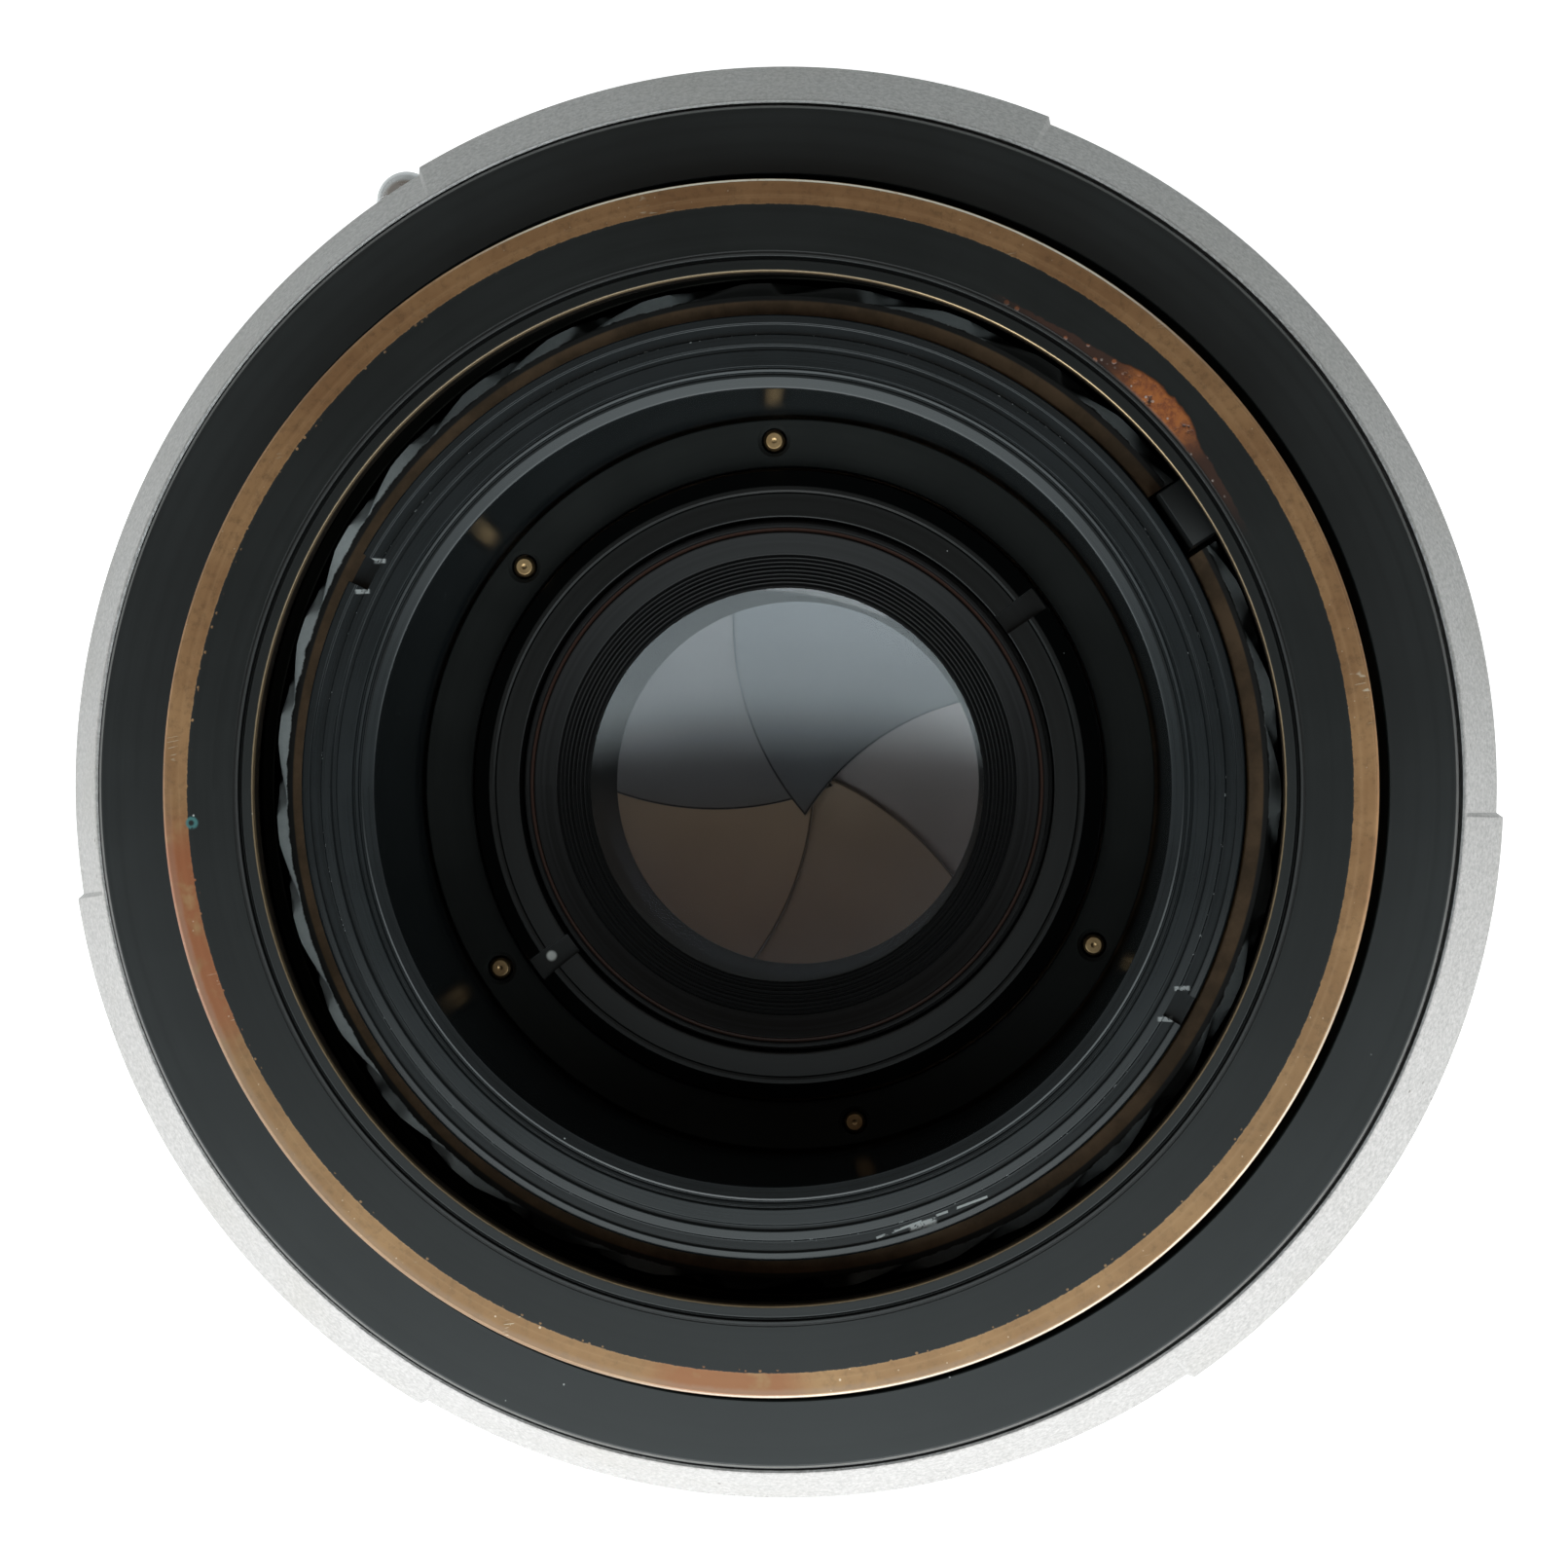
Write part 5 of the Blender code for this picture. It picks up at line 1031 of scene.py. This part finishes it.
BLADES = 5
BLADE_PIVOT_R = 18.5
BLADE_SWING = 46.0
BLADE_HOLE_R = 13.2
BLADE_OVERLAP = 2.0
BLADE_STEP, BLADE_T = 0.5, 0.2  # distance between the blades' levels, thickness
SHUTTER_TOP = 39.2
SHUTTER_FIRST_ANGLE = 30.0
# blades 3 to 5, low in the view, are tinted brown as a painted reflection; blades 1 and 2 are dark
# steel
BLADE_TINTS_AND_REFLECTION = ((0.07, 0.068, 0.07), (0.088, 0.08, 0.08), (0.24, 0.165, 0.116),
               (0.225, 0.16, 0.118), (0.2, 0.168, 0.16))


def shutter_blades():
    """Closed blades: the edge of each lies on its own opening and on its neighbour's."""
    pitch = 360.0 / BLADES
    pin_gap = 2 * BLADE_PIVOT_R * math.sin(math.radians(pitch / 2))
    pivot = (BLADE_PIVOT_R, 0.0)
    own = turned_about((0, 0), pivot, BLADE_SWING)
    following = turned_about(own, (0, 0), pitch)
    wide = BLADE_HOLE_R + BLADE_OVERLAP
    # the drive stud's hole, on the line that halves the swing
    half, reach = math.radians(BLADE_SWING / 2), 3.6
    arm = math.hypot(BLADE_PIVOT_R + reach * math.cos(half), reach * math.sin(half))
    middle = (reach + arm - BLADE_PIVOT_R) / 2
    stud = (BLADE_PIVOT_R + middle * math.cos(half), middle * math.sin(half))
    for k in range(BLADES):
        z1 = SHUTTER_TOP - BLADE_STEP * k
        z0 = z1 - BLADE_T

        def disc(name, centre, radius, over=1.0, count=144):
            at = turned_about(centre, (0, 0), SHUTTER_FIRST_ANGLE + pitch * k)
            circle = arc_points(at, radius, 0, 360 * (count - 1) / count, count)
            return prism(name, circle, z0 - over, z1 + over), at

        blade, wide_at = disc(f"shutter_blade_{k + 1}_steel", following, wide, 0.0)
        keep = [disc("keep", centre, radius)[0]
                for centre, radius in ((pivot, pin_gap - 0.9), (own, 26.9), ((0, 0), 25.5))]
        boolean(blade, keep, "INTERSECT")
        opening, own_at = disc("hole", own, BLADE_HOLE_R)
        boolean(blade, [opening, disc("hole", pivot, 0.9, count=24)[0],
                        disc("hole", stud, 0.95, count=24)[0]])
        rims = ((*own_at, BLADE_HOLE_R, 1), (*wide_at, wide, -1))
        steel = blade_steel(f"blade_steel_{k + 1}", BLADE_TINTS_AND_REFLECTION[k], rims)
        dress(blade, f"blade_{k + 1}", steel, "blade_steel", f"shutter_blade_{k + 1}")


def plain_nodes():
    """CAD pieces whose shape is right and that hardly show: they only get their finish."""
    for material, names in (
            (blade_steel("blade_steel"), [f"iris_blade_{k + 1}" for k in range(BLADES)]),
            (plain_steel("plain_steel"), ["blade_drive_ring", "mechanism_plate", "iris_cam_ring",
                                          "cocking_ring", "cam_guide_pin"]),
            (black_paint("inside_paint"), ["front_plate", "element_spacer"])):
        for name in names:
            NODES[name].data.materials.clear()
            NODES[name].data.materials.append(material)


# ---- surroundings ----

def sky():
    """White to the camera. Otherwise bright towards -Y, pale blue towards +Y, dark overhead."""
    world = bpy.data.worlds.new("studio")
    bpy.context.scene.world = world
    world.use_nodes = True
    g = Graph(world.node_tree)
    g.tree.nodes.clear()
    x, y, z = g.split(g.node("TexCoord").outputs["Generated"])
    degrees = 180 / math.pi
    front = (y * -1.0).op("ARCTAN2", z.most(0.001)) * degrees  # from overhead towards -Y
    back = front * -1.0
    side = (x.op("ARCTAN2", z.most(0.001)) * degrees).abs()
    low = z.ramp(0.04, 0.32, 1.0, 0.0)
    high = 1.0 - low
    window = front.ramp(3.0, 21.0) * front.ramp(50.0, 64.0, 1.0, 0.0)

    def background(colour, strength=1.0):
        node = g.node("Background")
        node.inputs["Color"].default_value = (*colour, 1)
        g.feed(node.inputs["Strength"], strength)
        return node.outputs[0]

    def join(kind, first, *shaders):
        node = g.node(kind)
        for k, shader in enumerate(shaders):
            g.feed(node.inputs[first + k], shader)
        return node

    parts = [
        ((0.11, 0.078, 0.055), (back.ramp(-3.0, 7.0) * 0.85 + 0.15) * high),
        ((0.88, 0.98, 1.0), window * side.ramp(50.0, 64.0, 1.0, 0.0) * 3.6 * high),
        ((0.72, 0.93, 1.0), back.ramp(16.0, 48.0) * 0.24 * high),
        ((0.95, 1.0, 1.0), side.ramp(9.0, 45.0) * 0.16 * high),
        ((1.0, 1.0, 1.0), low * (front.ramp(-80.0, 80.0) * 0.7 + 0.35)),
    ]
    total = background(*parts[0])
    for part in parts[1:]:
        total = join("AddShader", 0, total, background(*part)).outputs[0]
    mix = join("MixShader", 1, total, background((1, 1, 1)))
    g.feed(mix.inputs[0], g.node("LightPath").outputs["Is Camera Ray"])
    g.feed(g.node("OutputWorld").inputs[0], mix.outputs[0])


def studio():
    """Floor of white paper, the sky and a window lamp."""
    sky()
    size, level = 3.0, -0.0002
    mesh = bpy.data.meshes.new("floor")
    mesh.from_pydata([(-size, -size, level), (size, -size, level), (size, size, level),
                      (-size, size, level)], [], [(0, 1, 2, 3)])
    floor = add_object("floor", mesh)
    paper = Paint("floor_paper", (0.4, 0.4, 0.395), roughness=0.9)
    path = paper.node("LightPath")
    seen, glossy, through = (V(paper, path.outputs[f"Is {kind} Ray"])
                             for kind in ("Camera", "Glossy", "Transmission"))
    mirrored = glossy.most(through)
    # for reflections the paper glows brighter towards the window: painted light
    towards_window = paper.y.ramp(-190.0, 140.0, 1.5, 0.0) + paper.x.ramp(-200.0, 200.0, 0.1, 0.0)
    paper.bsdf.inputs["Emission Color"].default_value = (1, 1, 1, 1)
    paper.use("Emission Strength", seen * 0.9 + mirrored * towards_window)
    mesh.materials.append(paper.mat)

    lamp = bpy.data.lights.new("window", "AREA")
    lamp.shape = "RECTANGLE"
    lamp.size, lamp.size_y = 0.45, 0.35
    lamp.energy = 1.4
    window = add_object("window", lamp)
    window.location = (-0.12, -0.62, 0.5)
    towards_lens = Vector((0, 0, 0.05)) - window.location
    window.rotation_euler = towards_lens.to_track_quat("-Z", "Y").to_euler()


def main():
    place_camera()
    focus_ring()
    mount_pieces()
    nut_and_screws()
    cam_ring()
    key()
    helicoid_barrel()
    baffle_sleeve()
    pin_plate()
    rear_cell()
    rear_baffle()
    lens_elements()
    shutter_outside()
    levers(bright_chrome())
    sockets()
    front_cell()
    shutter_blades()
    plain_nodes()
    studio()
    bpy.context.scene.view_settings.view_transform = "Standard"


main()
